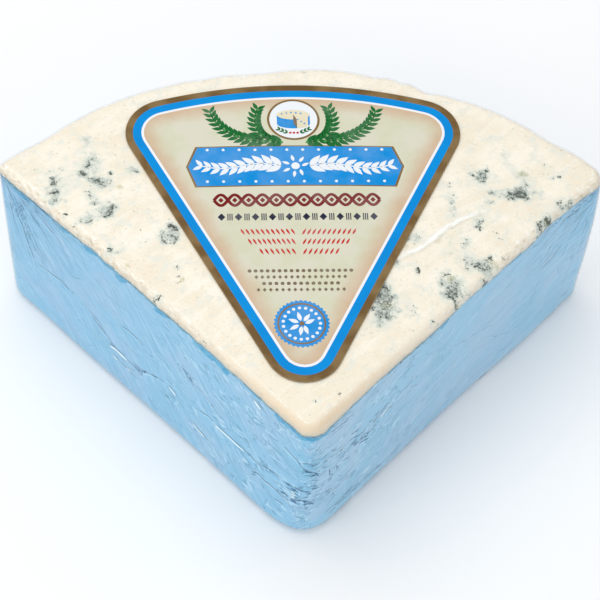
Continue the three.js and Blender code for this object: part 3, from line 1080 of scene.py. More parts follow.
def newMaterial(name):
    # The material, its shader, and the object's own coordinates.
    material = bpy.data.materials.new(name)
    material.use_nodes = True
    tree = inHand["tree"] = material.node_tree
    return material, tree.nodes["Principled BSDF"], addNode("ShaderNodeTexCoord").outputs["Object"]


def setBump(shader, height, distance, strength):
    inputs = {"Height": height, "Distance": distance * mm, "Strength": strength}
    bump = firstOf("ShaderNodeBump", inputs)
    setInputs(shader, {"Normal": bump})
    return bump


# finishes: paints as on a chart, from the bottom coat up

pasteColours = {
    "cream": (251, 242, 224),
    "deepCream": (244, 232, 209),
    "tip": (243, 231, 206),
    "smear": (240, 228, 206),
    "paleSmear": (254, 248, 235),
    "cool": (234, 232, 218),
    "pores": (214, 206, 186),
    "warmEdge": (243, 230, 209),
    "tipEdge": (234, 204, 162),
    "tan": (220, 207, 186),
    "edgeHighlight": (255, 253, 244),
    "lowerEdge": (186, 188, 174),
    "crust": (122, 122, 102),
    "crumbs": (182, 168, 142),
    "haze": (229, 230, 216),
    "greyCloud": (190, 198, 188),
    "slateCloud": (146, 154, 146),
    "stain": (190, 182, 128),
    "smudge": (150, 155, 142),
    "thread": (82, 90, 78),
    "specks": (58, 65, 52),
    "lively": (92, 102, 95),
}


def pasteFinish():
    material, shader, vector = newMaterial("blueCheesePaste")
    hues = pasteColours
    creamy = useGroup(softMottle, Vector=vector, Size=12.0, Low=.38, High=.64)
    grain = useGroup(fineGrain, Vector=vector, Size=.9, Shade=.07)
    colour = mixColour(creamy.outputs["Mask"], paint(*hues["cream"]), paint(*hues["deepCream"]))
    place = addNode("ShaderNodeSeparateXYZ", {0: vector}).outputs["Y"]
    colour = tint(colour, place, (tipY + 60) * mm, (tipY + 8) * mm, .7, hues["tip"])
    smear = noiseAt(stretched(vector, 42, 4), 3.0)
    colour = tint(colour, smear, .54, .72, .4, hues["smear"])
    colour = tint(colour, smear, .46, .32, .45, hues["paleSmear"])
    colour = tint(colour, noiseAt(vector, 5, 5, .65), .50, .64, .85, hues["cool"])
    colour = tint(colour, noiseAt(vector, 1.1, 3, .6), .58, .72, .6, hues["pores"])

    # the edge: warmer towards the wrap, with a broken white line of painted highlight along the brow, and
    # streaks along it
    over = readField("overEdge")
    bare = readField("bareEdge")
    rim = combine(times(readField("alongRim"), mm), times(over, mm))
    streak = spread(stretched(rim, 0, 4), 1.0, 4)
    blot = spread(rim, 2.4, 4, .65)
    warm = plus(over, (blot, .8))
    colour = tint(colour, warm, -2.0, 3.0, .6, hues["warmEdge"])
    atTip = remap(place, (tipY + 42) * mm, (tipY + 8) * mm)
    colour = coat(colour, times(atTip, remap(warm, -.5, 3.2, 0, .55)), hues["tipEdge"])
    colour = tint(colour, plus(bare, (blot, .9), (streak, 1.2)), 4.0, 1.2, .85, hues["tan"])
    # painted highlight: white in broken places where the rounded edge would catch the light
    edgeHighlight = plus(compute("SUBTRACT", 1.4, away(over, 1.0)), (streak, .8))
    bright = times(remap(edgeHighlight, .9, 1.5), remap(blot, -.1, .5, 0, .8))
    colour = coat(colour, bright, hues["edgeHighlight"])
    lower = plus(bare, (blot, -.5), (streak, -.9))
    colour = tint(colour, lower, 1.4, .1, .85, hues["lowerEdge"])
    crust = plus(bare, (blot, -.9), (spread(rim, .7, 2), -1.1))
    colour = tint(colour, crust, .6, -.2, .6, hues["crust"])

    # crumbs, dark down the side and pale at the brow, few of them near the tip; the pale ones at the brow
    # are partly crumbs and partly painted highlight
    crumbs = spread(stretched(rim, 0, 1.6), 1.5, 3, .65)
    rough = remap(place, (tipY + 24) * mm, (tipY + 80) * mm, .12, 1)
    dark = times(remap(crumbs, .15, .8, 0, .7), remap(over, .6, 2.2))
    colour = coat(colour, times(dark, rough), hues["crumbs"])
    pale = times(remap(crumbs, -.1, -.7, 0, .9), remap(over, -.6, .4))
    colour = coat(colour, times(pale, rough), hues["edgeHighlight"])

    # mould: a pale haze, grey and slate clouds, smudges along the veins
    cloud = readField("cloud")
    near = readField("veinNear")
    strength = readField("veinStrength")
    blotch = spread(vector, 2.2, 5, .65)
    fine = spread(vector, .8, 3)
    haze = plus(cloud, (times(remap(near, veins["reach"], .3), strength), .6))
    colour = tint(colour, plus(haze, (blotch, .30)), .10, .65, .85, hues["haze"])
    grey = plus(haze, (fine, .15), (blotch, .45))
    colour = tint(colour, grey, .44, .90, .8, hues["greyCloud"])
    slate = plus(cloud, (fine, .3), (blotch, .45))
    colour = tint(colour, slate, .72, 1.12, .8, hues["slateCloud"])
    stain = plus(readField("stain"), (blotch, .5))
    colour = tint(colour, stain, .30, 1.25, .6, hues["stain"])
    close = times(remap(near, 1.15, .1), strength)
    colour = tint(colour, plus(close, (fine, .45)), .45, .95, .7, hues["smudge"])

    # a vein is a thin broken thread with a chain of dark specks along it
    thread = plus(lineMask("vein", 0.0, .34), (fine, .30))
    colour = tint(colour, thread, .32, .55, .85, hues["thread"])
    specks = plus(times(close, .85), (spread(vector, .62, 1, .5), .70))
    dusty = times(remap(specks, .66, .84), remap(close, .06, .22))
    colour = coat(colour, times(dusty, .93), hues["specks"])
    lively = plus(haze, (spread(vector, .8, 2), .6))
    colour = tint(colour, lively, 1.04, 1.22, .7, hues["lively"])
    setInputs(shader, {"Base Color": shaded(colour, grain), "Roughness": .55})
    height = plus(creamy.outputs["Height"], (grain.outputs["Height"], .3))
    setBump(shader, compute("SUBTRACT", height, dusty), .35, .7)
    return material


def mouldFinish():
    material, shader, vector = newMaterial("mouldGrain")
    shade = useGroup(softMottle, Vector=vector, Size=1.6, Low=.36, High=.66)
    grain = useGroup(fineGrain, Vector=vector, Size=.3, Shade=.2)
    colour = mixColour(shade.outputs["Mask"], paint(64, 71, 59), paint(122, 130, 118))
    setInputs(shader, {"Base Color": shaded(colour, grain), "Roughness": .7})
    return material


wrapColours = {
    "sky": (144, 200, 231),
    "mauve": (168, 200, 229),
    "cyan": (126, 188, 217),
    "pull": (118, 180, 214),
    "palePull": (180, 218, 240),
    "hairs": (80, 154, 194),
    "rightHand": (172, 217, 241),
    "gatherShade": (88, 162, 208),
    "gatherHighlight": (168, 214, 243),
    "gatherShadeLines": (30, 124, 168),
    "shoulder": (70, 130, 164),
    "crinkleHighlight": (196, 230, 249),
    "crinkleShade": (40, 132, 172),
    "deepWet": (28, 150, 198),
    "wet": (92, 182, 220),
    "tornEdgeShade": (110, 162, 186),
    "edge": (44, 104, 118),
    "creaseShade": (104, 170, 208),
    "creaseLight": (196, 231, 251),
    "crease": (0, 92, 136),
}


def wrapFinish():
    material, shader, vector = newMaterial("blueWrapFoil")
    hues = wrapColours
    height = addNode("ShaderNodeSeparateXYZ", {0: vector}).outputs["Z"]
    along = times(readField("along"), mm)
    hand = readField("hand")
    flat = combine(along, height, times(readField("drift"), mm))
    sway = addNode("ShaderNodeTexNoise", {"Vector": vector, "Scale": 28.0, "Detail": 2.0})
    bent = firstOf("ShaderNodeVectorMath", {0: sway.outputs["Color"], 1: (.010, .010, 0)},
                   operation="MULTIPLY")
    flat = firstOf("ShaderNodeVectorMath", {0: flat, 1: bent}, operation="ADD")

    # broad tones, then the pull marks: steep on the left hand, nearly level on the right
    cloud = useGroup(softMottle, Vector=stretched(flat, 22, 2), Size=17.0, Low=.45, High=.60)
    deep = useGroup(softMottle, Vector=stretched(flat, 35, 2.4), Size=11.0, Low=.52, High=.68)
    mauve = times(cloud.outputs["Mask"], blend(hand, .45, .9))
    colour = mixColour(mauve, paint(*hues["sky"]), paint(*hues["mauve"]))
    colour = coat(colour, times(deep.outputs["Mask"], blend(hand, .5, .8)), hues["cyan"])
    steep = noiseAt(stretched(flat, 50, 13), 1.5, 4, .62)
    level = noiseAt(stretched(flat, 8, 16), 1.5, 4, .62)
    pulled = blend(hand, steep, level)
    colour = tint(colour, pulled, .52, .68, .7, hues["pull"])
    colour = tint(colour, pulled, .46, .30, .8, hues["palePull"])
    steepHairs = noiseAt(stretched(flat, 46, 24), .75, 2)
    levelHairs = noiseAt(stretched(flat, 4, 30), .75, 2)
    hairs = remap(blend(hand, steepHairs, levelHairs), .62, .70)
    somewhere = remap(noiseAt(vector, 16, 2), .45, .62)
    colour = coat(colour, times(hairs, somewhere, .45), hues["hairs"])
    colour = tint(colour, hand, .5, 1.0, .3, hues["rightHand"])

    # the gathers that fan out from the shoulders, fewer on the right hand, painted as bands of shade and
    # highlight with thin lines of painted shade
    reach = readField("fanReach")
    fan = combine(times(readField("fanAngle"), 17.0), times(reach, .03), hand)
    wide = noise(fan, 1.0, 3.0, .6)
    amount = blend(hand, 1.0, .65)
    gathered = times(remap(reach, 58, 6), amount)
    colour = coat(colour, times(remap(wide, .47, .62, 0, .8), gathered), hues["gatherShade"])
    colour = coat(colour, times(remap(wide, .45, .32, 0, .6), gathered), hues["gatherHighlight"])
    lines = times(remap(noise(fan, 2.6, 2.0), .59, .67), remap(reach, 74, 20))
    colour = coat(colour, times(lines, amount, .6), hues["gatherShadeLines"])
    # painted shade: darker close to the shoulders' top corners, where the gathers bunch
    colour = tint(colour, reach, 14, 4, .45, hues["shoulder"])

    # crinkles: thin curled lines of painted highlight and painted shade where a cloudy pattern passes its
    # middle, most near the tip
    swirl = noise(stretched(flat, 28, 2.6), 290.0, 2.0, .5, .8)
    crinkled = times(remap(noiseAt(flat, 8, 3), .42, .56), remap(along, .095, .025, .25, 1))
    pale = times(remap(away(swirl, .58), .045, .010), crinkled)
    colour = coat(colour, times(pale, .7), hues["crinkleHighlight"])
    dark = times(remap(away(swirl, .5), .044, .012), crinkled)
    colour = coat(colour, times(dark, .42), hues["crinkleShade"])

    # wet places, and the torn edge at the top, darkened partly as the foil's own torn edge and partly as
    # painted shade where the wrap meets the paste
    ragged = spread(vector, 2.0, 5, .65)
    sheen = mixColour(remap(ragged, -.5, .6), paint(*hues["deepWet"]), paint(*hues["wet"]))
    wet = plus(readField("wet"), (ragged, .35))
    colour = mixColour(remap(wet, .23, .38, 0, .92), colour, sheen)
    rim = readField("belowRim")
    colour = tint(colour, plus(rim, (ragged, -1.0)), 2.1, .5, .75, hues["tornEdgeShade"])
    edge = remap(plus(rim, (ragged, -.7)), 1.05, .35)
    spots = remap(spread(vector, 2.6, 4), -.3, .5, .15, 1)
    colour = coat(colour, times(edge, spots), hues["edge"])

    # painted shade and highlight: a crease is dark on one side and catches the light on the other, with a
    # soft painted shade around it
    broken = remap(noiseAt(vector, 3.0, 2), .30, .55, .45, 1)
    fold = times(lineMask("crease", .1, .38), broken)
    colour = coat(colour, times(lineMask("crease", .6, 1.3), .25), hues["creaseShade"])
    colour = coat(colour, times(lineMask("crease", -.58, .42), .6), hues["creaseLight"])
    colour = tint(colour, fold, .05, .55, .9, hues["crease"])
    setInputs(shader, {"Base Color": colour, "Roughness": .42, "Specular IOR Level": .2})
    setBump(shader, compute("SUBTRACT", times(pulled, .7), fold), .10, .7)
    return material


filmColours = {"fold": (255, 255, 250), "glint": (226, 248, 255)}


def filmFinish():
    material, shader, vector = newMaterial("clearFilmSkin")
    bump = setBump(shader, noiseAt(vector, 9), .3, .5)
    clear = firstOf("ShaderNodeBsdfTransparent", {"Color": (.99, .995, 1, 1)})
    gloss = firstOf("ShaderNodeBsdfAnisotropic", {"Roughness": .12, "Normal": bump})
    # a thin skin bends light alike from both sides
    behind = addNode("ShaderNodeNewGeometry").outputs["Backfacing"]
    index = compute("POWER", 1.22, compute("MULTIPLY_ADD", behind, -2.0, 1.0))
    fresnel = firstOf("ShaderNodeFresnel", {"IOR": index, "Normal": bump})
    skin = firstOf("ShaderNodeMixShader", {0: fresnel, 1: clear, 2: gloss})
    # glints are painted highlights in white, and folds are milky, partly the film's own whitening and
    # partly painted sheen, so both hide what is under them
    thin = remap(noiseAt(vector, 3.0), .30, .56, .60, .96)
    glint = remap(lineMask("glint", 0.0, .66), .04, .26)
    sheenAndMilk = compute("MAXIMUM", times(readField("milkySheen"), thin), glint)
    colour = mixColour(glint, paint(*filmColours["fold"]), paint(*filmColours["glint"]))
    setInputs(shader, {"Base Color": colour, "Roughness": .25})
    whole = firstOf("ShaderNodeMixShader", {0: sheenAndMilk, 1: skin, 2: shader.outputs[0]})
    setInputs(material.node_tree.nodes["Material Output"], {"Surface": whole})
    return material


paperColours = {
    "cream": (217, 214, 194),
    "deepCream": (211, 210, 184),
    "glow": (206, 173, 142),
    "white": (238, 240, 243),
    "sky": (0, 142, 218),
    "deepSky": (0, 136, 212),
    "bronze": (110, 85, 50),
    "bronzeSheen": (136, 111, 74),
    "cut": (176, 156, 124),
}


def paperFinish():
    # Printed border bands, from the edge inwards, then a warm glow that fades to cream.
    material, shader, vector = newMaterial("labelPaperPrint")
    hues = {name: paint(*colour) for name, colour in paperColours.items()}
    grain = useGroup(fineGrain, Vector=vector, Size=.5, Shade=.03)
    cloud = useGroup(softMottle, Vector=vector, Size=11.0, Low=.4, High=.62).outputs["Mask"]
    inward = readField("inward")
    colour = mixColour(cloud, hues["cream"], hues["deepCream"])
    glow = plus(inward, (noiseAt(vector, 6), 5.0))
    colour = mixColour(remap(glow, 16.5, 8.0, 0, .85), colour, hues["glow"])
    colour = mixColour(remap(inward, 6.55, 6.45), colour, hues["white"])
    blue = mixColour(cloud, hues["sky"], hues["deepSky"])
    colour = mixColour(remap(inward, 5.65, 5.55), colour, blue)
    # painted sheen: lighter patches in the bronze band stand for light on the metallic ink
    bronzeSheenMask = remap(noiseAt(vector, 9), .36, .64)
    bronze = mixColour(bronzeSheenMask, hues["bronze"], hues["bronzeSheen"])
    colour = mixColour(remap(inward, 2.65, 2.55), colour, bronze)
    colour = mixColour(remap(inward, .25, .05, 0, .6), colour, hues["cut"])
    setInputs(shader, {"Base Color": shaded(colour, grain), "Specular IOR Level": .08,
                       "Roughness": remap(inward, 2.65, 2.55, .42, .3)})
    setBump(shader, grain.outputs["Height"], .03, .4)
    return material


# the print on the label: plates of ink a little proud of the paper, in the label's own frame

printShape = {
    "proud": 0.03,
    "sunk": 0.08,
    "layer": 0.03,           # each ink printed over another lies this much higher
    "spacing": 2.5,          # of the inner points that let a plate follow the paper
}


def inside(points, outline):
    # Which points lie inside a closed outline.
    x, y = points.T
    hit = np.zeros(len(points), bool)
    for (ax, ay), (bx, by) in zip(outline, np.roll(outline, -1, 0)):
        crosses = (ay > y) != (by > y)
        hit ^= crosses & (x < ax + (y - ay) * (bx - ax) / np.where(crosses, by - ay, 1))
    return hit


def fillOutline(outline, spacing):
    low, high = outline.min(0), outline.max(0)
    grid = np.meshgrid(*[np.arange(low[i] + spacing / 2, high[i], spacing) for i in (0, 1)])
    grid = np.stack(grid, -1).reshape(-1, 2)
    if len(grid):
        clear = [np.hypot(*(outline - point).T).min() > spacing * .4 for point in grid]
        grid = grid[inside(grid, outline) & np.array(clear)]
    corners = [Vector(point) for point in np.vstack((outline, grid))]
    edges = [(i, (i + 1) % len(outline)) for i in range(len(outline))]
    found = delaunay_2d_cdt(corners, edges, [], 1, 1e-6)
    return np.array([tuple(v) for v in found[0]]), [list(face) for face in found[2]]


def areaOf(points, face):
    x, y = points[face].T
    return (x * np.roll(y, -1) - y * np.roll(x, -1)).sum() / 2


def plate(points, faces):
    # A closed thin plate over flat faces: its height is still measured from the paper.
    faces = [face if areaOf(points, face) > 0 else face[::-1] for face in faces]
    count = len(points)
    edges = {(a, b) for face in faces for a, b in zip(face, face[1:] + face[:1])}
    walls = [(b, a, a + count, b + count) for a, b in edges if (b, a) not in edges]
    under = [[i + count for i in reversed(face)] for face in faces]
    top = np.column_stack((points, np.full(count, printShape["proud"])))
    bottom = np.column_stack((points, np.full(count, -printShape["sunk"])))
    return np.vstack((top, bottom)), faces + under + [list(wall) for wall in walls]


def joinPlates(plates):
    points, faces, start = [], [], 0
    for corners, shapes in plates:
        points.append(corners)
        faces += [[i + start for i in face] for face in shapes]
        start += len(corners)
    return np.vstack(points), faces


def layOnLabel(points):
    flat = labelPlace(points[:, :2])
    return np.column_stack((flat, labelTop(*flat.T) + points[:, 2]))


def solidPlate(outline):
    return plate(*fillOutline(np.asarray(outline, float), printShape["spacing"]))


def linePlate(path, width, closed=False):
    # A stroke of even width along a path of points.
    path = np.asarray(path, float)
    if closed:
        side = outwardNormals(path)
    else:
        way = np.gradient(path, axis=0)
        way /= np.hypot(*way.T)[:, None]
        side = np.column_stack((way[:, 1], -way[:, 0]))
    points = np.vstack((path + side * width / 2, path - side * width / 2))
    count = len(path)
    faces = [[i, i + count, (i + 1) % count + count, (i + 1) % count]
             for i in range(count if closed else count - 1)]
    return plate(points, faces)


def circle(centre, radius, count=48):
    return arcPoints(centre, radius, 0, 2 * math.pi, count + 1)[:-1]


def raised(printed, layers=1):
    # The same plate printed over other inks.
    points, faces = printed
    return points + (0, 0, layers * printShape["layer"]), faces


def inkFinish(name, colour, roughness):
    material, shader, vector = newMaterial(name)
    grain = useGroup(fineGrain, Vector=vector, Size=.5, Shade=.05)
    cloud = useGroup(softMottle, Vector=vector, Size=9.0, Low=.35, High=.7)
    full = paint(*colour)
    paler = [value + (1 - value) * .07 for value in full]
    mixed = mixColour(cloud.outputs["Mask"], full, paler)
    setInputs(shader, {"Base Color": shaded(mixed, grain), "Roughness": roughness,
                       "Specular IOR Level": .1})
    setBump(shader, grain.outputs["Height"], .02, .4)
    return material


inkColours = {
    "sky": (0, 139, 214),
    "white": (233, 237, 241),
    "gold": (128, 98, 50),
    "green": (18, 104, 44),
    "leafLight": (74, 148, 74),
    "wine": (118, 20, 18),
    "navy": (28, 30, 56),
    "red": (196, 42, 34),
    "tan": (122, 106, 84),
    "cream": (228, 218, 188),
}
shinyInk, plainInk = .32, .42        # roughness of the gold and of the rest
inks = {name: inkFinish(name + "Ink", colour, shinyInk if name == "gold" else plainInk)
        for name, colour in inkColours.items()}


def addPrint(name, ink, plates):
    points, faces = joinPlates(plates)
    piece = finishPiece(makeMesh(name, layOnLabel(points), faces, smooth=False), name)
    piece.data.materials.append(inks[ink])
    return piece


def separate(vector):
    return addNode("ShaderNodeSeparateXYZ", {0: vector}).outputs


def makeRepeatTree():
    # Motifs along a path: spaced, turned from its direction, growing or shrinking on the way,
    # then dropped on to the label.
    tree, given, result = makeTree("motifsAlongPath", "GeometryNodeTree",
                                   [("Path", "Geometry", None), ("Motif", "Object", None),
                                    ("Label", "Object", None), ("Ink", "Material", None),
                                    ("Spacing", "Float", .003), ("Turn", "Float", 0.0),
                                    ("First Size", "Float", 1.0), ("Last Size", "Float", 1.0)],
                                   [("Print", "Geometry")])
    curve = firstOf("GeometryNodeMeshToCurve", {"Mesh": given["Path"]})
    dots = firstOf("GeometryNodeResampleCurve", {"Curve": curve, "Length": given["Spacing"]},
                   mode="LENGTH")
    tangent = firstOf("GeometryNodeInputTangent")
    heading = firstOf("FunctionNodeAlignRotationToVector", {"Vector": tangent}, axis="X",
                      pivot_axis="Z")
    turn = firstOf("FunctionNodeAxisAngleToRotation", {"Axis": (0, 0, 1), "Angle": given["Turn"]})
    heading = firstOf("FunctionNodeRotateRotation", {0: heading, 1: turn}, rotation_space="LOCAL")
    share = addNode("GeometryNodeSplineParameter").outputs["Factor"]
    size = blend(share, given["First Size"], given["Last Size"])
    motif = addNode("GeometryNodeObjectInfo", {"Object": given["Motif"]}).outputs["Geometry"]
    copies = firstOf("GeometryNodeInstanceOnPoints",
                     {"Points": dots, "Instance": motif, "Rotation": heading,
                      "Scale": combine(size, size, 1.0)})
    real = firstOf("GeometryNodeRealizeInstances", {"Geometry": copies})
    x, y, z = separate(firstOf("GeometryNodeInputPosition"))
    label = addNode("GeometryNodeObjectInfo", {"Object": given["Label"]}).outputs["Geometry"]
    hit = addNode("GeometryNodeRaycast", {"Target Geometry": label, "Ray Direction": (0, 0, -1),
                                          "Source Position": combine(x, y, .2),
                                          "Ray Length": 1.0})
    paper = separate(hit.outputs["Hit Position"])[2]
    landed = combine(x, y, compute("ADD", z, paper))
    laid = firstOf("GeometryNodeSetPosition", {"Geometry": real, "Position": landed})
    inked = firstOf("GeometryNodeSetMaterial", {"Geometry": laid, "Material": given["Ink"]})
    setInputs(result, {"Print": inked})
    return tree


def growMesh(name, source, tree, values):
    # Runs a node tree over a mesh and returns the result as a plain mesh.
    maker = bpy.data.objects.new(name + "Maker", source)
    bpy.context.scene.collection.objects.link(maker)
    modifier = maker.modifiers.new("grow", "NODES")
    modifier.node_group = tree
    for item in tree.interface.items_tree:
        if item.in_out == "INPUT" and item.name in values:
            modifier[item.identifier] = values[item.name]
    bpy.context.view_layer.update()
    graph = bpy.context.evaluated_depsgraph_get()
    mesh = bpy.data.meshes.new_from_object(maker.evaluated_get(graph))
    mesh.name = name
    maker.modifiers.remove(modifier)
    bpy.data.objects.remove(maker)
    return mesh


def makeGrainTree():
    # Grains pressed into the paste, most where the field called grit is strong.
    tree, given, result = makeTree("grainsOnPaste", "GeometryNodeTree",
                                   [("Paste", "Geometry", None), ("Density", "Float", 2e6),
                                    ("Smallest", "Float", .0001), ("Largest", "Float", .0003),
                                    ("Seed", "Int", 1), ("Finish", "Material", None)],
                                   [("Grains", "Geometry")])
    grit = firstOf("GeometryNodeInputNamedAttribute", {"Name": "grit"}, data_type="FLOAT")
    dots = firstOf("GeometryNodeDistributePointsOnFaces",
                   {"Mesh": given["Paste"], "Density": times(grit, given["Density"]),
                    "Seed": given["Seed"]}, distribute_method="RANDOM")
    ball = firstOf("GeometryNodeMeshIcoSphere", {"Radius": 1.0, "Subdivisions": 1})
    size = addNode("FunctionNodeRandomValue",
                   {2: given["Smallest"], 3: given["Largest"], "Seed": given["Seed"]},
                   data_type="FLOAT").outputs[1]
    build, spin = [firstOf("FunctionNodeRandomValue", {0: low, 1: high, "Seed": seed},
                           data_type="FLOAT_VECTOR")
                   for low, high, seed in (((.7, .7, .35), (1.5, 1.1, .6), 7),
                                           ((0, 0, 0), (.3, .3, 6.28), 9))]
    scale = firstOf("ShaderNodeVectorMath", {0: build, 3: size}, operation="SCALE")
    copies = firstOf("GeometryNodeInstanceOnPoints",
                     {"Points": dots, "Instance": ball, "Rotation": spin, "Scale": scale})
    real = firstOf("GeometryNodeRealizeInstances", {"Geometry": copies})
    coated = firstOf("GeometryNodeSetMaterial", {"Geometry": real, "Material": given["Finish"]})
    setInputs(result, {"Grains": coated})
    return tree


def motifObject(name, outline):
    motif = bpy.data.objects.new(name, makeMesh(name, *solidPlate(outline), smooth=False))
    bpy.context.scene.collection.objects.link(motif)
    return motif


repeatTree = makeRepeatTree()


def leafOutline(length, width, count=7):
    along = np.linspace(0, 1, count)
    half = width / 2 * np.sin(math.pi * along ** .8)
    upper = np.column_stack((length * along, half))
    return np.vstack((upper[:1], (upper * (1, -1))[1:-1], upper[-1:], upper[-2:0:-1]))


motifs = {
    "leaf": motifObject("leafMotif", leafOutline(4.2, 1.7)),
    "slant": motifObject("slantMotif", leafOutline(3.0, .75, 5) - (1.5, 0)),
    "dot": motifObject("dotMotif", circle((0, 0), .5, 10)),
    "lozenge": motifObject("lozengeMotif", [(-1.3, 0), (0, -1.55), (1.3, 0), (0, 1.55)]),
    "bar": motifObject("barMotif", [(-.2, -1.5), (.2, -1.5), (.2, 1.5), (-.2, 1.5)]),
}


def addRow(name, ink, motif, paths, spacing, turns=(0,), sizes=(1, 1), layers=0):
    # One piece of print from copies of a motif along one or more paths.
    height = layers * printShape["layer"] * mm
    points, edges = [], []
    for path in paths:
        edges += [(len(points) + i, len(points) + i + 1) for i in range(len(path) - 1)]
        points += labelPlace(path).tolist()
    source = bpy.data.meshes.new(name + "Path")
    source.from_pydata([(x * mm, y * mm, height) for x, y in points], edges, [])
    joined = bmesh.new()
    for turn in turns:
        mesh = growMesh(name, source, repeatTree, {
            "Motif": motifs[motif], "Label": labelPaper, "Ink": inks[ink], "Spacing": spacing * mm,
            "Turn": math.radians(turn), "First Size": float(sizes[0]), "Last Size": float(sizes[1])})
        joined.from_mesh(mesh)
        bpy.data.meshes.remove(mesh)
    result = bpy.data.meshes.new(name)
    joined.to_mesh(result)
    joined.free()
    result.materials.append(inks[ink])
    bpy.data.meshes.remove(source)
    return finishPiece(result, name)


def linePath(start, stop, height, count=20):
    return np.column_stack((np.linspace(start, stop, count), np.full(count, float(height))))


def ringPath(centre, radius, copies):
    # An open ring that ends one copy short, so that the first and the last copy don't meet.
    return arcPoints(centre, radius, 0, 2 * math.pi * (1 - 1 / copies), 8 * copies)


def addRing(name, ink, motif, centre, radius, copies, turn, size, layers):
    # A ring of motifs around a centre.
    addRow(name, ink, motif, [ringPath(centre, radius, copies)], 2 * math.pi * radius / copies,
           (turn,), (size, size), layers)


def smoothPath(points, count=24):
    # A run of points along a cubic through the given four.
    points = np.asarray(points, float)
    share = np.linspace(0, 1, count)
    knots = np.linspace(0, 1, len(points))
    return np.column_stack([np.polyval(np.polyfit(knots, points[:, i], 3), share) for i in (0, 1)])


def bothSides(path):
    path = np.asarray(path, float)
    return [path, path * (-1, 1)]


banner = {
    "half": 35,              # half its length, without the points
    "low": 97.4, "high": 115.4,
    "point": 3.2,
    "bow": .5,
    "edging": .45,
    # a garland runs each way from a little blossom
    "start": 5, "run": 27.5, "wave": 1.1, "stem": .5,
    "leafSpacing": 3.0, "leafTurns": (38, -38), "leafSizes": (1.45, .9),
    "blossom": 2.2, "petals": 8, "heart": 1.5,
    # dots along the two long edges
    "dotsInside": (2.2, 1.7), "dotsHalf": 30.8, "dotSpacing": 5.6, "dotSize": 1.1,
}


def bannerOutline(inset=0.0):
    half, middle = banner["half"] - inset * 1.6, (banner["low"] + banner["high"]) / 2
    across = np.linspace(-half, half, 25)
    bow = banner["bow"] * np.cos(across / half * math.pi / 2)
    lower = np.column_stack((across, banner["low"] + inset + bow))
    upper = np.column_stack((across[::-1], banner["high"] - inset + bow[::-1]))
    point = half + banner["point"]
    return np.vstack((lower, [(point, middle)], upper, [(-point, middle)]))


def printBanner():
    shape = banner
    addPrint("bannerEdging", "gold", [solidPlate(bannerOutline())])
    addPrint("bannerField", "sky", [raised(solidPlate(bannerOutline(shape["edging"])))])
    middle = (shape["low"] + shape["high"]) / 2 + shape["bow"] * .6
    run = np.linspace(0, 1, 24)
    garland = np.column_stack((shape["start"] + shape["run"] * run,
                               middle + shape["wave"] * np.sin(2 * math.pi * run)))
    stems = [raised(linePlate(path, shape["stem"]), 2) for path in bothSides(garland)]
    heart = raised(solidPlate(circle((0, middle), shape["heart"], 20)), 2)
    addPrint("garlandStems", "white", stems + [heart])
    addRow("garlandLeaves", "white", "leaf", bothSides(garland), shape["leafSpacing"],
           shape["leafTurns"], shape["leafSizes"], 2)
    addRing("garlandHeart", "white", "leaf", (0, middle), shape["blossom"], shape["petals"], -90, .7, 2)
    below, above = shape["dotsInside"]
    for height in (shape["low"] + below, shape["high"] - above):
        row = linePath(-shape["dotsHalf"], shape["dotsHalf"], height + shape["bow"] * .5)
        addRow("bannerDots%d" % height, "white", "dot", [row], shape["dotSpacing"], (0,),
               (shape["dotSize"], shape["dotSize"]), 2)


emblem = {
    "centre": (0, 127.8), "radius": 9.0, "ring": .8,
    # the cheese wheel: half its width and its depth from above, its height, its place
    "wide": 5.9, "tall": 2.2, "deep": 4.1, "above": 2.2,
    "cut": (282, 332),       # the wedge that is lifted out, in degrees
    # from the middle of the wheel's top
    "veins": [[(-4.1, .4), (-1.1, 1.1), (2.7, .6)], [(1.6, -2.3), (3.9, -4.1)]],
    "veinSpacing": 1.4, "veinSizes": (.55, .7),
    # a few berries with leaves below the wheel, from the emblem's centre
    "berriesBelow": 6.1, "berriesHalf": 1.3, "twig": [(2.2, -6.1), (4.8, -4.7)],
    "twigSpacing": 1.4, "twigTurns": (30, -30), "twigSize": .45,
    # the sprays start below the emblem and sweep up past it
    "inner": [(4.5, 117.4), (10.6, 119.6), (13.6, 125.4), (12.8, 132.6)],
    "outer": [(11.0, 117.8), (18.6, 119.4), (25.4, 123.8), (29.6, 131.2)],
    "stem": .6, "leafSpacing": 2.05, "leafTurns": (42, -42), "leafSizes": (1.15, .85),
    "budSpacing": 4.1, "budSizes": (1.1, .8),
}


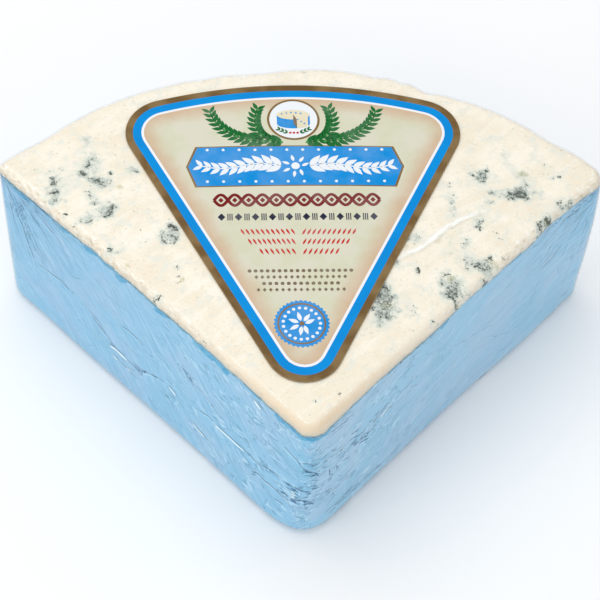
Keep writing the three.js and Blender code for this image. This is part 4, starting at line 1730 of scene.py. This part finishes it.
def printEmblem():
    # A cheese wheel with a wedge lifted out, in a ring between leafy sprays.
    shape = emblem
    cx, cy = shape["centre"]
    radius, deep = shape["radius"], shape["deep"]
    oval = (shape["wide"], shape["tall"])
    middle = cy + shape["above"]
    addPrint("emblemField", "white", [solidPlate(circle((cx, cy), radius))])
    addPrint("emblemRing", "gold", [raised(linePlate(circle((cx, cy), radius, 72), shape["ring"], True))])
    lower = arcPoints((0, 0), 1, math.pi, 2 * math.pi, 20) * oval + (cx, middle - deep)
    upper = arcPoints((0, 0), 1, 0, math.pi, 20) * oval + (cx, middle)
    addPrint("wheelSide", "sky", [raised(solidPlate(np.vstack((lower, upper))))])
    addPrint("wheelTop", "cream", [raised(solidPlate(circle((0, 0), 1, 40) * oval + (cx, middle)), 2)])
    edge = arcPoints((0, 0), 1, *np.radians(shape["cut"]), 9) * oval + (cx, middle)
    below = edge - (0, deep)
    gap = np.vstack(([(cx, middle)], edge[:1], below, edge[-1:]))
    addPrint("wheelCut", "cream", [raised(solidPlate(gap), 3)])
    corner = [(cx, middle), (cx, middle - deep), below[0], edge[0]]
    addPrint("wheelShade", "tan", [raised(solidPlate(corner), 4)])
    veinPaths = [np.array(path) + (cx, middle) for path in shape["veins"]]
    addRow("wheelVeins", "sky", "dot", veinPaths, shape["veinSpacing"], (0,), shape["veinSizes"], 4)
    half = shape["berriesHalf"]
    berries = linePath(cx - half, cx + half, cy - shape["berriesBelow"], 4)
    addRow("emblemBerries", "red", "dot", [berries], half, layers=1)
    twigs = [path + (cx, cy) for path in bothSides(shape["twig"])]
    addRow("emblemLeaves", "green", "leaf", twigs, shape["twigSpacing"], shape["twigTurns"],
           (shape["twigSize"], shape["twigSize"]), 1)
    paths = bothSides(smoothPath(shape["inner"])) + bothSides(smoothPath(shape["outer"]))
    addPrint("sprayStems", "green", [linePlate(path, shape["stem"]) for path in paths])
    addRow("sprayLeaves", "green", "leaf", paths, shape["leafSpacing"], shape["leafTurns"],
           shape["leafSizes"])
    addRow("sprayBuds", "leafLight", "dot", paths, shape["budSpacing"], (0,), shape["budSizes"], 1)


rules = {
    # a braid, then ornamental rules below it, by distance from the cuts' meeting point
    "braidAt": 91.8, "braidHalf": 28.6, "braidWave": 2.3, "braidTurns": 6, "strand": 1.15,
    "lozengesAt": 84.6, "lozengesHalf": 26.1, "lozengeSpacing": 5.8, "bars": (2.2, 2.9, 3.6),
    "sprigs": [(78.3, 19), (74.2, 16.6), (70.1, 12.8)],      # place and half length
    "sprigStart": 1.9, "sprigSpacing": 1.62, "sprigTurn": 62,
    "tanDots": [(62.2, 17), (57.1, 12.3)],
    "tanBars": [(59.7, 14.8), (54.6, 14.2)],
    "tanSpacing": 1.9,
}


def printRows():
    # Ornamental rules where a maker's words would be.
    shape = rules
    half, height = shape["braidHalf"], shape["braidAt"]
    across = np.linspace(-half, half, 145)
    wave = shape["braidWave"] * np.sin(across / half * shape["braidTurns"] * math.pi)
    strands = [linePlate(np.column_stack((across, height + side * wave)), shape["strand"])
               for side in (1, -1)]
    addPrint("wineBraid", "wine", [strands[0], raised(strands[1], .4)])
    step = half / shape["braidTurns"]
    addRow("wineLozenges", "wine", "lozenge", [linePath(-half + step / 2, half - step / 2, height)], step,
           (0,), (.72, .72))
    half, height, spacing = shape["lozengesHalf"], shape["lozengesAt"], shape["lozengeSpacing"]
    addRow("navyLozenges", "navy", "lozenge", [linePath(-half, half, height)], spacing)
    bars = [linePath(-half + shift, half - spacing + shift, height) for shift in shape["bars"]]
    addRow("navyBars", "navy", "bar", bars, spacing, (0,), (.95, .95))
    turn = shape["sprigTurn"]
    for i, (height, half) in enumerate(shape["sprigs"]):
        right, left = bothSides(linePath(shape["sprigStart"], half, height))
        addRow("redSprigs%d" % (i + 1), "red", "slant", [right], shape["sprigSpacing"], (turn,))
        addRow("redSprigsLeft%d" % (i + 1), "red", "slant", [left], shape["sprigSpacing"], (180 - turn,))
    for name, motif, size in (("tanDots", "dot", 1.35), ("tanBars", "lozenge", .5)):
        paths = [linePath(-half, half, height) for height, half in shape[name]]
        addRow(name, "tan", motif, paths, shape["tanSpacing"], (0,), (size, size))


seal = {
    "centre": (-.4, 41.2), "radius": 9.0,
    "scallops": 36, "scallopDepth": .28,
    "ring": 7.7, "ringWidth": .55,
    "beadRing": 6.1, "beads": 20, "beadSize": 1.15,
    "petalRing": 1.1, "petals": 8, "petalSize": .86,
    "heart": .8,
}


def printSeal():
    shape = seal
    centre = np.array(shape["centre"])
    angle = np.linspace(0, 2 * math.pi, shape["scallops"] * 6 + 1)[:-1]
    reach = shape["radius"] + shape["scallopDepth"] * np.cos(shape["scallops"] * angle)
    edge = centre + np.column_stack((np.cos(angle), np.sin(angle))) * reach[:, None]
    addPrint("sealField", "sky", [solidPlate(edge)])
    ring = linePlate(circle(centre, shape["ring"], 72), shape["ringWidth"], True)
    addPrint("sealRing", "gold", [raised(ring)])
    addRing("sealBeads", "white", "dot", centre, shape["beadRing"], shape["beads"], 0, shape["beadSize"], 1)
    addRing("sealPetals", "white", "leaf", centre, shape["petalRing"], shape["petals"], -90,
            shape["petalSize"], 1)
    addPrint("sealHeart", "gold", [raised(solidPlate(circle(centre, shape["heart"], 16)), 2)])


printBanner()
printEmblem()
printRows()
printSeal()
for motif in motifs.values():
    bpy.data.objects.remove(motif)
print("label printed")


grains = {
    "Density": 1.7e6,        # grains to a square metre where the paste is at its mouldiest
    "Smallest": .00008, "Largest": .00024,
    "Seed": 4,
}


def growMould():
    values = dict(grains, Finish=mouldFinish())
    mesh = growMesh("mouldGrains", cheese.data, makeGrainTree(), values)
    if not mesh.materials:
        mesh.materials.append(values["Finish"])
    print("mould grown,", len(mesh.polygons), "faces")
    return finishPiece(mesh, "mouldGrains")


growMould()
cheese.data.materials.append(pasteFinish())
blueWrap.data.materials.append(wrapFinish())
clearFilm.data.materials.append(filmFinish())
labelPaper.data.materials.append(paperFinish())
print("finishes ready")


# stage, light and camera

stage = {
    "half": 2.5, "under": .0002,     # half its width, and its place below the wedge, in metres
    "tones": [(252, 252, 252), (250, 250, 250)],
}


def makeStage():
    half, height = stage["half"], -stage["under"]
    mesh = bpy.data.meshes.new("floor")
    corners = [(-half, -half, height), (half, -half, height), (half, half, height), (-half, half, height)]
    mesh.from_pydata(corners, [], [(0, 1, 2, 3)])
    floor = bpy.data.objects.new("floor", mesh)
    bpy.context.scene.collection.objects.link(floor)
    material, shader, vector = newMaterial("paleFloor")
    cloud = useGroup(softMottle, Vector=vector, Size=400.0, Low=.3, High=.7)
    tones = [paint(*tone) for tone in stage["tones"]]
    setInputs(shader, {"Base Color": mixColour(cloud.outputs["Mask"], *tones), "Roughness": .8})
    floor.data.materials.append(material)


lights = {
    # place and aim in metres, size in metres, power in watts
    "overhead": ((-.25, .25, 1.3), (0, 0, 0), 1.2, 6.4),
    "left": ((-1.1, -.75, .8), (0, 0, .03), .9, 3.6),
    "front": ((.5, -1.3, .7), (0, 0, .03), .8, 2.3),
}
sky = {"Color": (.97, .985, 1, 1), "Strength": .67}


def makeLights():
    for name, (place, aim, size, power) in lights.items():
        data = bpy.data.lights.new(name, "AREA")
        data.shape = "DISK"
        data.size = size
        data.energy = power
        lamp = bpy.data.objects.new(name, data)
        lamp.location = place
        lamp.rotation_euler = (Vector(aim) - Vector(place)).to_track_quat("-Z", "Y").to_euler()
        bpy.context.scene.collection.objects.link(lamp)
    world = bpy.data.worlds.new("studio")
    bpy.context.scene.world = world
    world.use_nodes = True
    setInputs(world.node_tree.nodes["Background"], sky)


view = {
    "target": (1.6, 22.1, 0),
    "azimuth": -4.73,
    "elevation": 56.25,
    "roll": 4.54,
    "distance": 597.1,
    "lens": 92.3,
    "sensor": 36,            # its width
}


def makeCamera():
    azimuth, elevation, roll = (math.radians(view[k]) for k in ("azimuth", "elevation", "roll"))
    back = Vector((math.sin(azimuth) * math.cos(elevation), -math.cos(azimuth) * math.cos(elevation),
                   math.sin(elevation)))
    right = (-back).cross(Vector((0, 0, 1))).normalized()
    up = back.cross(right)
    across = right * math.cos(roll) + up * math.sin(roll)
    upward = up * math.cos(roll) - right * math.sin(roll)
    place = (Vector(view["target"]) + back * view["distance"]) * mm
    data = bpy.data.cameras.new("camera")
    data.lens = view["lens"]
    data.sensor_width = view["sensor"]
    camera = bpy.data.objects.new("camera", data)
    turn = Matrix((across, upward, back)).transposed().to_4x4()
    camera.matrix_world = Matrix.Translation(place) @ turn
    bpy.context.scene.collection.objects.link(camera)
    bpy.context.scene.camera = camera


makeStage()
makeLights()
makeCamera()
bpy.context.scene.view_settings.view_transform = "Standard"
print("stage, light and camera ready")
